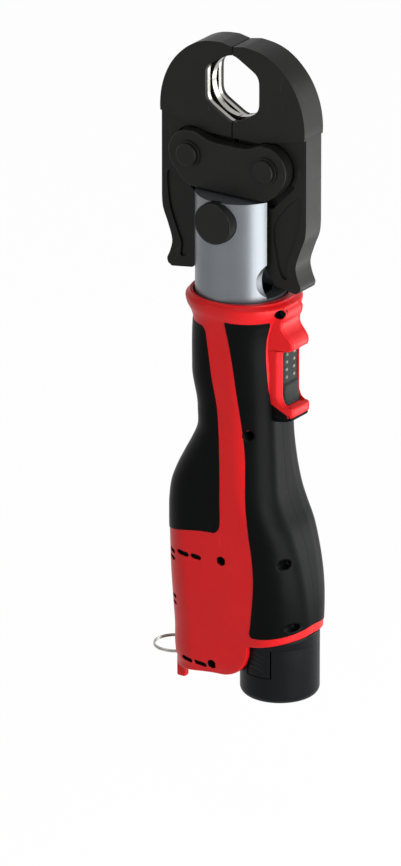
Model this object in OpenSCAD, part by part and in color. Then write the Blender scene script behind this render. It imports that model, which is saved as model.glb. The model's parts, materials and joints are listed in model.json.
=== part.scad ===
// Inline cordless press tool: a two-lever press jaw pinned in a fork head, and a long grip body with
// a pump, gear train and motor inside, standing on a slide-in round battery.
// Millimetres. Origin at the centre of the press bore, +X towards the trigger, +Z up the tool axis.

/* [Press jaw] */
// Half of the width across the six flats of the press bore
bore_r = 19.1; // [17:0.1:20]
// Radius of the jaw head's outer arc
head_r = 51; // [49:0.5:54]
// Drop of the outer arc's centre below the bore
head_drop = 19; // [17:0.5:21]
// Height of the flattened jaw top above the bore
head_top = 28; // [26:0.5:30]
// Thickness of the jaw head
head_t = 19.6; // [18:0.2:20.4]
// Thickness of the lever tails
tail_t = 16; // [15:0.2:16.4]
// Thickness of the lever web between the side plates
web_t = 10; // [8:0.2:10.4]
// Distance of each pivot bolt from the middle
pivot_x = 27; // [26:0.25:28]
// Drop of the pivot bolts below the bore
pivot_drop = 44; // [43:0.5:46]
// Radius of the pivot bolts
bolt_r = 7; // [5:0.25:7.5]
// Overall thickness across both side plates
plates_t = 31; // [29:0.5:34]
// Length of the lever tails below the pivot bolts
tail_l = 77; // [74:0.5:78]
// How far the jaw opens on each side, in degrees
open_angle = 14; // [8:0.5:15]

/* [Fork head] */
// Radius of the round fork head
fork_r = 27.3; // [26:0.25:28]
// Width of the slot that takes the jaw
slot_w = 21; // [20.6:0.1:22]
// Drop of the fork's top below the bore
fork_drop = 65.4; // [64:0.2:67]
// Drop of the retaining pin below the bore
pin_drop = 78; // [76:0.5:79]
// Radius of the retaining pin's shank
pin_r = 8; // [6:0.25:8.5]
// Radius of the retaining pin's head
pin_head_r = 12.7; // [10:0.25:14]
// Stroke of the press rollers
stroke = 30; // [20:1:30]
// Radius of the press rollers
roller_r = 8; // [6.5:0.25:8.2]

/* [Body] */
// Drop of the body's top rim below the bore
body_drop = 127; // [126:0.5:130]
// Length of the body from its rim to the floor of the rear box
body_l = 237; // [230:1:250]
// Reach of the body behind the tool axis
rear_reach = 41.5; // [40:0.5:46]
// Reach of the body in front of the tool axis
front_reach = 52; // [51:0.5:56]
// Width of the body
body_w = 56.6; // [55:0.2:62]
// Thickness of the plastic shell
wall = 2; // [1.6:0.1:2.6]
// Thickness of the rubber grip layer
grip_t = 1.6; // [1:0.1:2]
// Reach of the trigger guard in front of the tool axis
guard_reach = 43; // [41:0.5:46]
// Width of the trigger
trigger_w = 16; // [12:0.5:17]
// Travel of the trigger
trigger_travel = 4; // [2:0.5:5]
// Outer radius of the pump, gear train and motor
mech_r = 18; // [17.4:0.1:18.2]

/* [Battery] */
// Radius of the battery's base
pack_r = 23.8; // [23.4:0.1:24.4]
// Distance of the battery's axis in front of the tool axis
pack_x = 28; // [27:0.25:29]
// Height of the battery's base below the body
pack_base_h = 36; // [33:0.5:42]
// Radius of a battery cell
cell_r = 9.2; // [8.6:0.1:9.3]
// Length of a battery cell
cell_l = 65; // [58:0.5:66]

/* [Hidden] */
$fn = 64;

// Shared clearances: running fits, sliding gaps, and the overrun of every cut
run_gap = 0.05;
slide_gap = 0.3;
seat_gap = 0.02;
overrun = 1;
film = 0.02;
band_t = 0.4;

// Colours of the finishes
black_steel = "#2b2b2c";
bright_steel = "#b9bcc0";
satin_metal = "#a9adb3";
red_plastic = "#c9161c";
black_rubber = "#161617";
dark_plastic = "#24262a";
bronze = "#a0723c";
green_board = "#1f6b3a";

// Points along a round stretch from one angle to another
function arc(centre, r, from, to, steps) =
    [for (i = [0:steps]) let (a = from + (to - from) * i / steps) centre + r * [cos(a), sin(a)]];

// Points of a smooth closed curve through hand-chosen corners
function smooth_pick(a, b, c, d, t) =
    (2 * b + t * (c - a) + t * t * (2 * a - 5 * b + 4 * c - d) + t * t * t * (3 * b - a - 3 * c + d)) / 2;
function smooth(pts, steps) = let (n = len(pts))
    [for (i = [0:n - 1], s = [0:steps - 1])
        smooth_pick(pts[(i + n - 1) % n], pts[i], pts[(i + 1) % n], pts[(i + 2) % n], s / steps)];

// A flat outline in X and Z, drawn out along Y between two depths
module slab(from_y, to_y) {
    translate([0, to_y, 0]) rotate([90, 0, 0]) linear_extrude(to_y - from_y) children();
}

// A slab centred on the tool's middle plane
module mid_slab(t) {
    slab(-t / 2, t / 2) children();
}

// A turned piece whose axis lies along Y, from a profile of radius and depth
module turned_y(x, z) {
    translate([x, 0, z]) rotate([90, 0, 0]) rotate_extrude() children();
}

// A round bar along Y between two depths
module bar_y(x, z, r, from_y, to_y) {
    slab(from_y, to_y) translate([x, z]) circle(r);
}

// A round bar or a tube along Z between two heights
module bar_z(r, low, high) {
    translate([0, 0, low]) cylinder(r = r, h = high - low);
}
module tube_z(r_out, r_in, low, high) {
    difference() {
        bar_z(r_out, low, high);
        bar_z(r_in, low - overrun, high + overrun);
    }
}

// Press jaw: heights and places, worked out from the driving sizes
seam_gap = 0.3;
bore_z = 0;
pivot_z = -pivot_drop;
plate_r = 14.5;
plate_in = web_t / 2 + slide_gap;
plate_out = plates_t / 2;
plate_low = 20;
plate_waist = 10.4;
tongue_wall = 4.3;
tongue_r = pin_r + tongue_wall;
pin_z = -pin_drop;
tongue_half = slot_w / 2 - slide_gap;
bolt_proud = 3.5;
bolt_end = plate_out + bolt_proud;
bolt_chamfer = 0.6;
ring_t = 1.2;
ring_r = bolt_r + ring_t;
groove_depth = 0.6;
pocket_depth = 1.2;

// Rollers: closed place of their axes, and the gap to the lever edges that they spread
roller_gap = 0.5;
roller_rise_share = 0.97;
roller_x = roller_r + roller_gap;
roller_z = pin_z - tongue_r - roller_r * roller_rise_share;
roller_t = tail_t - slide_gap;
roller_steps = 8;

// Direction from the right pivot to a place on the right lever
function about_pivot(p, turn) = let (d = p - [pivot_x, pivot_z])
    [pivot_x, pivot_z] + [d[0] * cos(turn) - d[1] * sin(turn), d[0] * sin(turn) + d[1] * cos(turn)];

// Edge that the roller rolls on: its axis as the lever sees it while both move, set off by its radius
function roller_seen(s) = about_pivot([roller_x, roller_z - s], open_angle * s / stroke);
function roller_edge(s, side_shift) = let (
    ahead = roller_seen(s + seam_gap) - roller_seen(s - seam_gap),
    along = ahead / norm(ahead))
    roller_seen(s) + side_shift * [-along[1], along[0]];

// Points of a smooth open curve, with its ends held
function smooth_open(pts, steps) = let (n = len(pts))
    concat([for (i = [0:n - 2], s = [0:steps - 1])
        smooth_pick(pts[max(i - 1, 0)], pts[i], pts[i + 1], pts[min(i + 2, n - 1)], s / steps)],
        [pts[n - 1]]);

// Lever outline: heights as shares of the tail's length, reaches as shares of the head's radius
tail_z_shares = [0.416, 0.52, 0.64, 0.766, 0.86, 0.925, 0.965];
tail_x_shares = [1, 0.985, 0.915, 0.857, 0.885, 0.926, 0.91];
tail_toe_share = 0.86;
roll_share = 0.76;
head_step_share = 0.7;
head_in_share = 0.74;
web_x_shares = [0.9, 0.95, 0.9];
curve_steps = 4;
head_low = 30.2;
lobe_gap = 1.2;
step_rise = 7.7;
edge_in_x = [20, 22, 22.3, 20.5];
edge_in_z = [8.5, 0, -6, -10.6];
web_in_x = [2.5, 6, 9.5, 14];
web_in_z_shares = [0.08, 0.2, 0.32, 0.4];
recess_toe = [16.5, 9.5];
recess_low = [1, 25.5];
tail_end_z = pivot_z - tail_l;

function tail_outer() = smooth_open([for (i = [0:len(tail_z_shares) - 1])
    [head_r * tail_x_shares[i], pivot_z - tail_l * tail_z_shares[i]]], curve_steps);
function tail_inner() = [for (i = [roller_steps:-1:0])
    roller_edge(stroke * roll_share * i / roller_steps, roller_r + slide_gap)];
function lever_inner() = [for (i = [len(edge_in_x) - 1:-1:0]) [edge_in_x[i], pin_z + edge_in_z[i]]];
function web_inner() = [for (i = [len(web_in_x) - 1:-1:0])
    [web_in_x[i], pivot_z - tail_l * web_in_z_shares[i] + pivot_drop - head_low]];

// Six-sided bore with blunt corners, two of them on the seam
bore_sides = 6;
bore_corner_share = 1.115;
module bore_outline(extra) {
    intersection() {
        circle(bore_r * bore_corner_share + extra, $fn = 128);
        rotate(180 / bore_sides) circle((bore_r + extra) / cos(180 / bore_sides), $fn = bore_sides);
    }
}

// Half of the jaw head, outside the bore and above the side plates
module head_outline() {
    difference() {
        intersection() {
            translate([0, -head_drop]) circle(head_r, $fn = 128);
            polygon([
                [seam_gap / 2, head_top - step_rise / 4], [step_rise, head_top],
                [head_r + overrun, head_top], [head_r + overrun, -head_low + step_rise],
                [head_r * head_step_share, -head_low + step_rise / 2], [pivot_x * head_in_share, -head_low],
                [seam_gap / 2, -head_low]
            ]);
        }
        translate([0, bore_z]) bore_outline(0);
        translate([pivot_x, pivot_z]) circle(plate_r + lobe_gap);
    }
}

// The lever below the head, down to the toe of its tail
module tail_outline() {
    polygon(concat(
        [[head_r, -head_low + step_rise + overrun]], tail_outer(),
        [[head_r * tail_toe_share, tail_end_z + lobe_gap]],
        tail_inner(), lever_inner(),
        [[pivot_x, pivot_z - plate_low], [pivot_x, -head_low + step_rise]]
    ));
}

// Room in the lever's thick parts for the side plates over the whole swing
module plate_recess() {
    translate([pivot_x, pivot_z]) circle(plate_r + lobe_gap);
    polygon([
        [-overrun, -head_low], [pivot_x * head_in_share, -head_low], [pivot_x, pivot_z],
        [pivot_x + recess_toe[0], pivot_z - recess_toe[1]],
        [pivot_x + recess_low[0], pivot_z - recess_low[1]],
        [-overrun, pivot_z - recess_low[1]]
    ]);
}

// Thin middle of the lever, round the pivot and up to the seam
module web_outline() {
    polygon(concat(
        [[seam_gap / 2, -head_low + overrun], [head_r * web_x_shares[0], -head_low + step_rise / 2],
         [head_r * web_x_shares[1], pivot_z], [head_r * web_x_shares[2], pivot_z - recess_low[1]],
         [edge_in_x[0], pin_z + edge_in_z[0]]], web_inner()
    ));
}

// Shallow pocket forged into each face of the tail
pocket_x_shares = [0.9, 0.9, 0.8, 0.73, 0.74, 0.65, 0.58, 0.56];
pocket_z_shares = [0.2, 0.46, 0.66, 0.78, 0.88, 0.86, 0.7, 0.45];
module tail_pocket() {
    polygon(smooth([for (i = [0:len(pocket_x_shares) - 1])
        [head_r * pocket_x_shares[i], pivot_z - tail_l * pocket_z_shares[i]]], curve_steps));
}

// Three raised ridges inside the bore, left between two grooves; the middle one is round
groove_share = 0.12;
groove_place_share = 0.17;
ridge_t = head_t * (2 * groove_place_share - groove_share);
module middle_ridge() {
    mid_slab(ridge_t) intersection() {
        translate([0, bore_z]) difference() {
            bore_outline(pocket_depth);
            circle(bore_r, $fn = 128);
        }
        translate([seam_gap / 2, -head_r]) square(2 * head_r);
    }
}
module bore_grooves() {
    for (side = [-1, 1])
        translate([0, side * head_t * groove_place_share, bore_z]) mid_slab(head_t * groove_share)
            bore_outline(pocket_depth);
}

module jaw_lever() {
    difference() {
        union() {
            mid_slab(head_t) head_outline();
            middle_ridge();
            mid_slab(tail_t) difference() {
                tail_outline();
                plate_recess();
            }
            mid_slab(web_t) union() {
                web_outline();
                tail_outline();
            }
        }
        for (side = [-1, 1])
            translate([0, side * tail_t / 2, 0]) mid_slab(2 * pocket_depth) difference() {
                tail_pocket();
                plate_recess();
            }
        bore_grooves();
        bar_y(pivot_x, pivot_z, bolt_r + run_gap, -head_t, head_t);
    }
}
module right_jaw_lever() { color(black_steel) jaw_lever(); }
module left_jaw_lever() { color(black_steel) mirror([1, 0, 0]) jaw_lever(); }

// Dog-bone side plate: two lobes round the bolts, and a tongue down into the fork
plate_side_shares = [0.68, 0.66, 0.1];
plate_drop_shares = [0.54, 0.93];
plate_foot_share = 0.7;
function plate_half(side) = [
    [side * pivot_x / 2, pivot_z + plate_waist + lobe_gap / 2], [side * pivot_x, pivot_z + plate_r],
    [side * (pivot_x + plate_r * plate_side_shares[0]), pivot_z],
    [side * (pivot_x + plate_r * plate_side_shares[1]), pivot_z - plate_low * plate_drop_shares[0]],
    [side * (pivot_x + plate_r * plate_side_shares[2]), pivot_z - plate_low * plate_drop_shares[1]],
    [side * pivot_x * plate_foot_share, pivot_z - plate_low]];
module plate_outline() {
    other = plate_half(-1);
    for (side = [-1, 1]) translate([side * pivot_x, pivot_z]) circle(plate_r);
    polygon(smooth(concat([[0, pivot_z + plate_waist]], plate_half(1), [[0, pivot_z - plate_low]],
        [for (i = [len(other) - 1:-1:0]) other[i]]), curve_steps));
}
module side_plate() {
    difference() {
        union() {
            slab(-plate_out, -plate_in) plate_outline();
            slab(-tongue_half, -plate_in) union() {
                translate([0, pin_z]) circle(tongue_r);
                translate([-tongue_r, pin_z]) square([2 * tongue_r, pivot_z - plate_waist - pin_z]);
            }
        }
        for (side = [-1, 1])
            bar_y(side * pivot_x, pivot_z, bolt_r + seat_gap, -plate_out - overrun, 0);
        bar_y(0, pin_z, pin_r + run_gap, -plate_out, 0);
    }
}
module front_side_plate() { color(black_steel) side_plate(); }
module rear_side_plate() { color(black_steel) mirror([0, 1, 0]) side_plate(); }

// Headless pivot bolt with chamfered ends and a groove for a snap ring at each end
module pivot_bolt(side) {
    ring_low = plate_out + seat_gap;
    ring_high = ring_low + ring_t;
    color(black_steel) difference() {
        turned_y(side * pivot_x, pivot_z) polygon([
            [0, -bolt_end], [bolt_r - bolt_chamfer, -bolt_end], [bolt_r, -bolt_end + bolt_chamfer],
            [bolt_r, bolt_end - bolt_chamfer], [bolt_r - bolt_chamfer, bolt_end], [0, bolt_end]
        ]);
        for (end = [-1, 1])
            turned_y(side * pivot_x, pivot_z) polygon([
                [bolt_r - groove_depth, end * ring_low], [bolt_r + overrun, end * ring_low],
                [bolt_r + overrun, end * ring_high], [bolt_r - groove_depth, end * ring_high]
            ]);
    }
}
module left_pivot_bolt() { pivot_bolt(-1); }
module right_pivot_bolt() { pivot_bolt(1); }

// One open snap ring in each of the four bolt grooves
module bolt_snap_rings() {
    color(black_steel) for (side = [-1, 1], end = [-1, 1])
        translate([0, end * (plate_out + seat_gap + ring_t / 2), 0]) mid_slab(ring_t - 2 * seat_gap)
            difference() {
                translate([side * pivot_x, pivot_z]) circle(ring_r);
                translate([side * pivot_x, pivot_z]) circle(bolt_r - groove_depth + seat_gap);
                translate([side * pivot_x - ring_t, pivot_z - ring_r - overrun])
                    square([2 * ring_t, ring_r]);
            }
}

// Fork head: heights from the slot down to the end of its spigot
fork_top = -fork_drop;
slot_room = 5;
fork_sunk = 2;
slot_floor = tail_end_z - slot_room;
fork_low = -body_drop - fork_sunk;
spigot_r = 21.6;
chamber_r = 18.6;
carrier_base_h = 7.5;
carrier_rise = 4.5;
carrier_top = roller_z + carrier_rise;
carrier_base_top = roller_z - roller_r - roller_gap - overrun;
carrier_base_low = carrier_base_top - carrier_base_h;
gland_t = 5;
gland_room = 2;
gland_top = carrier_base_low - stroke - gland_room;
gland_low = gland_top - gland_t;
spigot_grip = 6;
spigot_low = gland_low - spigot_grip;
scallop_r = 10.5;
scallop_rise = 16;
scallop_z = slot_floor + scallop_rise;
rod_r = 9;
rod_stub_r = 6;
spring_room = 9;
piston_t = 7.6;
piston_top = gland_low - spring_room;
piston_low = piston_top - piston_t;
tube_wall = 2.5;
piston_r = mech_r - tube_wall - run_gap;
tube_floor = piston_low - stroke - slide_gap;
tube_floor_t = 3;
tube_low = tube_floor - tube_floor_t;
seal_t = 2.4;
seal_depth = 1.6;

module fork_head() {
    color(satin_metal) difference() {
        union() {
            bar_z(fork_r, fork_low, fork_top);
            bar_z(spigot_r, spigot_low, fork_low + overrun);
        }
        translate([-fork_r - overrun, -slot_w / 2, slot_floor])
            cube([2 * (fork_r + overrun), slot_w, fork_top - slot_floor + overrun]);
        bar_z(chamber_r, gland_low, slot_floor + overrun);
        bar_z(mech_r + seat_gap, spigot_low - overrun, gland_low + overrun);
        bar_y(0, pin_z, pin_r + run_gap, -fork_r - overrun, fork_r + overrun);
        bar_y(0, pin_z, pin_head_r + slide_gap, -fork_r - overrun, -pin_seat);
        for (side = [-1, 1])
            bar_y(side * (fork_r + scallop_r / 2), scallop_z, scallop_r, -fork_r - overrun, fork_r + overrun);
        tube_z(spigot_r + overrun, spigot_r - circlip_depth, circlip_low, circlip_low + circlip_t);
    }
}

// Retaining pin: a broad chamfered head against the fork's front, and a shank through fork and plates
pin_head_t = 6;
pin_chamfer = 0.8;
pin_seat = sqrt(fork_r * fork_r - pin_head_r * pin_head_r) - slide_gap;
module retaining_pin() {
    head_in = pin_seat + slide_gap;
    head_out = fork_r + pin_head_t;
    far_end = fork_r - overrun;
    color(black_steel) turned_y(0, pin_z) polygon([
        [0, head_out], [pin_head_r - pin_chamfer, head_out], [pin_head_r, head_out - pin_chamfer],
        [pin_head_r, head_in], [pin_r, head_in],
        [pin_r, -far_end + pin_chamfer], [pin_r - pin_chamfer, -far_end], [0, -far_end]
    ]);
}

// Press rollers, which spread the lever tails as the piston rises
roller_pin_r = 3;
module roller(side) {
    color(bright_steel) difference() {
        bar_y(side * roller_x, roller_z, roller_r, -roller_t / 2, roller_t / 2);
        bar_y(side * roller_x, roller_z, roller_pin_r + run_gap, -roller_t, roller_t);
    }
}
module left_roller() { roller(-1); }
module right_roller() { roller(1); }

cheek_in = roller_t / 2 + slide_gap;
cheek_out = slot_w / 2 - slide_gap;
cheek_x = roller_x + roller_pin_r + overrun;
module roller_pins() {
    color(bright_steel) for (side = [-1, 1])
        bar_y(side * roller_x, roller_z, roller_pin_r, -cheek_out, cheek_out);
}

// Carrier with two cheeks for the roller pins, and the piston rod below it
module roller_carrier() {
    color(satin_metal) difference() {
        union() {
            for (side = [-1, 1])
                translate([0, side * (cheek_in + cheek_out) / 2, 0]) mid_slab(cheek_out - cheek_in)
                    translate([-cheek_x, carrier_base_low])
                        square([2 * cheek_x, carrier_top - carrier_base_low]);
            mid_slab(2 * cheek_out) translate([-cheek_x, carrier_base_low])
                square([2 * cheek_x, carrier_base_h]);
            bar_z(rod_r, piston_top, carrier_base_low + overrun);
            bar_z(rod_stub_r, piston_low, piston_top + overrun);
        }
        for (side = [-1, 1])
            bar_y(side * roller_x, roller_z, roller_pin_r + seat_gap, -slot_w, slot_w);
    }
}

// Piston on the rod's stub, with a groove for its seal
module piston() {
    seal_mid = (piston_top + piston_low) / 2;
    color(satin_metal) difference() {
        tube_z(piston_r, rod_stub_r + seat_gap, piston_low, piston_top);
        tube_z(piston_r + overrun, piston_r - seal_depth, seal_mid - seal_t / 2, seal_mid + seal_t / 2);
    }
}
module piston_seal() {
    seal_mid = (piston_top + piston_low) / 2;
    color(black_rubber) tube_z(piston_r, piston_r - seal_depth + seat_gap,
        seal_mid - seal_t / 2 + seat_gap, seal_mid + seal_t / 2 - seat_gap);
}

// A coil spring as one unbroken tube: rings of points along a helix, joined by triangles
coil_sides = 6;
coil_steps = 10;
function coil_ring(r, wire, pitch, turn) = [for (k = [0:coil_sides - 1])
    let (a = 360 * k / coil_sides, out = r + wire * cos(a))
    [out * cos(turn), out * sin(turn), pitch * turn / 360 + wire * sin(a)]];
module coil(r, wire, height, turns) {
    rings = round(turns * coil_steps);
    pitch = (height - 2 * wire) / turns;
    points = [for (i = [0:rings]) each coil_ring(r, wire, pitch, 360 * turns * i / rings)];
    sides = [for (i = [0:rings - 1], k = [0:coil_sides - 1])
        let (a = i * coil_sides + k, b = i * coil_sides + (k + 1) % coil_sides)
        each [[a, a + coil_sides, b], [b, a + coil_sides, b + coil_sides]]];
    caps = [for (k = [1:coil_sides - 2]) each [[0, k, k + 1],
        [rings * coil_sides, rings * coil_sides + k + 1, rings * coil_sides + k]]];
    translate([0, 0, wire]) polyhedron(points, concat(sides, caps));
}

// Return spring round the rod, squeezed between gland and piston when the jaw is closed
return_wire = 0.6;
return_turns = 4.5;
module return_spring() {
    color(bright_steel) translate([0, 0, piston_top + seat_gap])
        coil((rod_r + piston_r) / 2, return_wire, spring_room - 2 * seat_gap, return_turns);
}

module rod_gland() {
    color(bronze) tube_z(chamber_r - seat_gap, rod_r + run_gap, gland_low, gland_top);
}

// Cylinder tube with a closed floor, screwed up into the fork's spigot
module cylinder_tube() {
    color(satin_metal) difference() {
        bar_z(mech_r, tube_low, gland_low - seat_gap);
        bar_z(piston_r + run_gap, tube_floor, gland_low + overrun);
    }
}

// Swivel: a bush in the body's collar, and a circlip that holds the fork's spigot in it
bush_wall = 3;
bush_h = 6;
bush_drop = 1.5;
bush_top = fork_low - bush_drop;
bush_low = bush_top - bush_h;
bush_r = spigot_r + run_gap + bush_wall;
circlip_t = 1.2;
circlip_depth = 0.8;
circlip_low = bush_low - slide_gap - circlip_t;
circlip_r = spigot_r + 2 * circlip_depth;
module swivel_bush() {
    color(bronze) tube_z(bush_r, spigot_r + run_gap, bush_low, bush_top);
}
module swivel_circlip() {
    color(black_steel) tube_z(circlip_r, spigot_r - circlip_depth + seat_gap,
        circlip_low + seat_gap, circlip_low + circlip_t - seat_gap);
}

// Body: rows down its length, each with depth, rear, front, width and corner as shares of the body's sizes
station_shares = [
    [0, 0.725, 0.644, 1.04, 0.97], [0.013, 0.775, 0.702, 1.1, 0.93], [0.036, 0.775, 0.702, 1.1, 0.93],
    [0.052, 0.65, 0.596, 0.985, 0.86], [0.076, 0.62, 0.567, 0.965, 0.8], [0.203, 0.631, 0.563, 0.954, 0.78],
    [0.308, 0.545, 0.554, 0.896, 0.755], [0.359, 0.54, 0.562, 0.888, 0.75], [0.4, 0.64, 0.572, 0.905, 0.74],
    [0.435, 0.747, 0.588, 0.926, 0.73], [0.48, 0.87, 0.612, 0.96, 0.7], [0.519, 0.947, 0.646, 0.99, 0.68],
    [0.56, 0.98, 0.716, 1, 0.68], [0.603, 0.993, 0.808, 1, 0.7], [0.66, 1, 0.89, 1, 0.74],
    [0.73, 1, 0.958, 1, 0.78], [0.857, 0.983, 1, 0.972, 0.87], [0.903, 0.975, 1, 0.95, 0.9],
    [0.98, 0.945, 0.985, 0.92, 0.9], [1, 0.91, 0.95, 0.87, 0.9]
];
corner_steps = 6;
function station_z(row) = -body_drop - body_l * row[0];
function station_outline(row, inset) = let (
    back = -rear_reach * row[1] + inset,
    front = front_reach * row[2] - inset,
    half = body_w / 2 * row[3] - inset,
    r = max(body_w / 2 * row[3] * row[4] - inset, inset),
    cy = half - r)
    concat(arc([front - r, -cy], r, -90, 0, corner_steps), arc([front - r, cy], r, 0, 90, corner_steps),
        arc([back + r, cy], r, 90, 180, corner_steps), arc([back + r, -cy], r, 180, 270, corner_steps));
module station(row, inset) {
    translate([0, 0, station_z(row)]) linear_extrude(band_t) polygon(station_outline(row, inset));
}
module body_skin(inset) {
    for (i = [0:len(station_shares) - 2]) hull() {
        station(station_shares[i], inset);
        station(station_shares[i + 1], inset);
    }
}

// Outlines of the rubber panels as seen from the side: X as shares of the reaches, depths down the body
front_grip_x_shares = [
    0.15, 0.54, 0.57, 0.57, 0.65, 1.2, 1.2, 0.46, 0.47, 0.5, 0.515, 0.49, 0.46, 0.42, 0.34
];
front_grip_z_shares = [
    0.047, 0.047, 0.06, 0.285, 0.305, 0.305, 0.881, 0.881, 0.865, 0.8, 0.72, 0.6, 0.52, 0.39, 0.287
];
rear_grip_x_shares = [-1.2, -0.21, -0.16, 0.01, 0.05, 0.1, 0.08, 0.02, -1.2];
rear_grip_z_shares = [0.072, 0.072, 0.085, 0.287, 0.39, 0.52, 0.6, 0.622, 0.668];
module panel_outline(x_shares, reach, z_shares) {
    polygon([for (i = [0:len(x_shares) - 1]) [reach * x_shares[i], -body_drop - body_l * z_shares[i]]]);
}
module front_grip_field() {
    mid_slab(2 * body_w) panel_outline(front_grip_x_shares, front_reach, front_grip_z_shares);
}
module rear_grip_field() {
    mid_slab(2 * body_w) panel_outline(rear_grip_x_shares, rear_reach, rear_grip_z_shares);
}

// Trigger guard: a hood above the trigger, a lip below it and a rim along each side
guard_half = 12.5;
lip_half = 9.5;
guard_root = 24;
window_drop = 30;
window_h = 35;
window_top = -body_drop - window_drop;
window_low = window_top - window_h;
rim_x = 35.4;
hood_sunk = 2;
hood_top = -body_drop - hood_sunk;
hood_x = 40;
hood_drop = 29;
lip_t = 6;
rounding = 2.5;
module guard_block(x, half, low, high) {
    translate([guard_root, -half, low]) cube([x - guard_root, 2 * half, high - low]);
}
module guard() {
    hull() {
        guard_block(hood_x, guard_half, window_top, hood_top);
        guard_block(guard_reach - rounding, lip_half, hood_top - hood_drop, hood_top - hood_drop / 2);
        guard_block(guard_reach, lip_half - rounding, hood_top - hood_drop + rounding,
            hood_top - hood_drop / 2);
    }
    hull() {
        guard_block(rim_x, guard_half, window_low - lip_t, window_low);
        guard_block(guard_reach, lip_half, window_low - lip_t + rounding, window_low);
    }
    hull() {
        guard_block(rim_x - 2 * rounding, guard_half + rounding, window_low, window_top);
        guard_block(rim_x, guard_half - rounding, window_low, window_top);
    }
}

// Round cavity for the battery and the socket above it for its stem
pack_top_share = 0.903;
pack_top = -body_drop - body_l * pack_top_share;
pack_low = pack_top - pack_base_h;
cell_gap = 0.2;
cell_place = (2 * cell_r + cell_gap) / sqrt(3);
cluster_r = cell_place + cell_r;
case_wall = 0.8;
stem_r = cluster_r + case_wall;
cell_floor = 2;
cell_roof = 3;
cell_low = pack_low + cell_floor;
stem_top = cell_low + cell_l + cell_roof;
contact_h = 3;
contact_block_h = 7;
contact_low = stem_top + slide_gap;
socket_floor = contact_low + contact_block_h + slide_gap;
socket_t = 2;
box_low = -body_drop - body_l;
box_toe_r = 20;
foot_low = pack_low;
foot_half = 14.6;
foot_depth = 7.4;
foot_x_share = 0.93;

// Screws along Y that join the two halves, by place across and down the body
screw_x_shares = [0.69, 0.425, 0.09, 0.83, -0.06];
screw_z_shares = [0.025, 0.345, 0.688, 0.675, 0.975];
screw_seats = [7, 12, 12, 12, 12];
screw_places = [for (i = [0:len(screw_x_shares) - 1])
    [front_reach * screw_x_shares[i], -body_drop - body_l * screw_z_shares[i], screw_seats[i]]];
screw_r = 1.4;
screw_head_r = 2.8;
screw_head_t = 2;
boss_r = 3.4;
screw_end = 10;

// Vent slots in the side and rear walls of the rear box
vent_t = 1.6;
vent_side_z_shares = [0.692, 0.978];
vent_side_x_shares = [-0.52, -0.3];
vent_side_w = 7.4;
vent_rear_z_shares = [0.715, 0.855];
vent_rear_w = 9;
vent_slant = 11;

// Lanyard: a wire ring round an upright post in a recess at the rear
ring_wire_r = 1;
lanyard_r = 13;
post_r = 1.6;
post_x_share = 0.88;
post_x = -rear_reach * post_x_share;
lanyard_z = box_low + overrun;
recess_half = 12.6;
recess_h = 10;
lanyard_x = post_x + post_r + ring_wire_r + slide_gap - lanyard_r;

module body_solid() {
    difference() {
        union() {
            difference() {
                body_skin(0);
                front_grip_field();
                rear_grip_field();
            }
            body_skin(grip_t);
            guard();
            translate([-rear_reach * foot_x_share, -foot_half, foot_low])
                cube([foot_depth, 2 * foot_half, box_low - foot_low + foot_depth]);
        }
        // The cavity, its floor, and the round rooms for the swivel, the cylinder and the motor
        intersection() {
            body_skin(grip_t + wall);
            translate([-body_w, -body_w, box_low + wall])
                cube([2 * body_w, 2 * body_w, bush_low - slide_gap - box_low - wall]);
        }
        bar_z(fork_r + overrun, bush_top, -body_drop + overrun);
        bar_z(bush_r + 2 * run_gap, bush_low, bush_top + overrun);
        bar_z(circlip_r + slide_gap, bush_low - bush_h, bush_low + overrun);
        bar_z(spigot_r + slide_gap, spigot_low - overrun, bush_low);
        bar_z(mech_r + slide_gap, motor_low - overrun, spigot_low);
        // Trigger window, battery room with its rounded toe, and the ring's recess
        translate([guard_root - wall, -trigger_w / 2 - slide_gap, window_low])
            cube([guard_reach, trigger_w + 2 * slide_gap, window_top - window_low]);
        translate([pack_x, 0, 0]) bar_z(pack_r + slide_gap, box_low - overrun, pack_top);
        translate([pack_x, 0, 0]) bar_z(stem_r + slide_gap, pack_top - overrun, contact_low);
        mid_slab(2 * body_w) difference() {
            translate([0, box_low - overrun]) square([2 * front_reach, pack_top - box_low + overrun]);
            translate([pack_x - pack_r / 4 - box_toe_r, box_low + box_toe_r]) circle(box_toe_r);
            translate([pack_x - pack_r / 4 - box_toe_r, box_low + box_toe_r])
                square([box_toe_r, pack_top - box_low]);
            translate([0, box_low - overrun])
                square([pack_x - pack_r / 4 - box_toe_r, pack_top - box_low + overrun]);
        }
        translate([-2 * rear_reach, -recess_half, lanyard_z - recess_h / 2])
            cube([2 * rear_reach + lanyard_x + lanyard_r + 2 * ring_wire_r, 2 * recess_half, recess_h]);
        translate([post_x, 0, 0]) bar_z(post_r + seat_gap, lanyard_z - recess_h, lanyard_z + recess_h);
        // Vents
        for (side = [-1, 1], z = vent_side_z_shares, x = vent_side_x_shares)
            translate([rear_reach * x, side * body_w / 2, -body_drop - body_l * z]) rotate([0, vent_slant, 0])
                cube([vent_side_w, body_w / 4, vent_t], center = true);
        for (side = [-1, 1], z = vent_rear_z_shares)
            translate([-rear_reach, side * body_w / 5, -body_drop - body_l * z])
                cube([rear_reach / 3, vent_rear_w, vent_t], center = true);
    }
    // Plate over the battery's contacts
    intersection() {
        body_skin(grip_t);
        translate([pack_x - stem_r, -body_w, socket_floor]) cube([2 * stem_r, 2 * body_w, socket_t]);
    }
}

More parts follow.
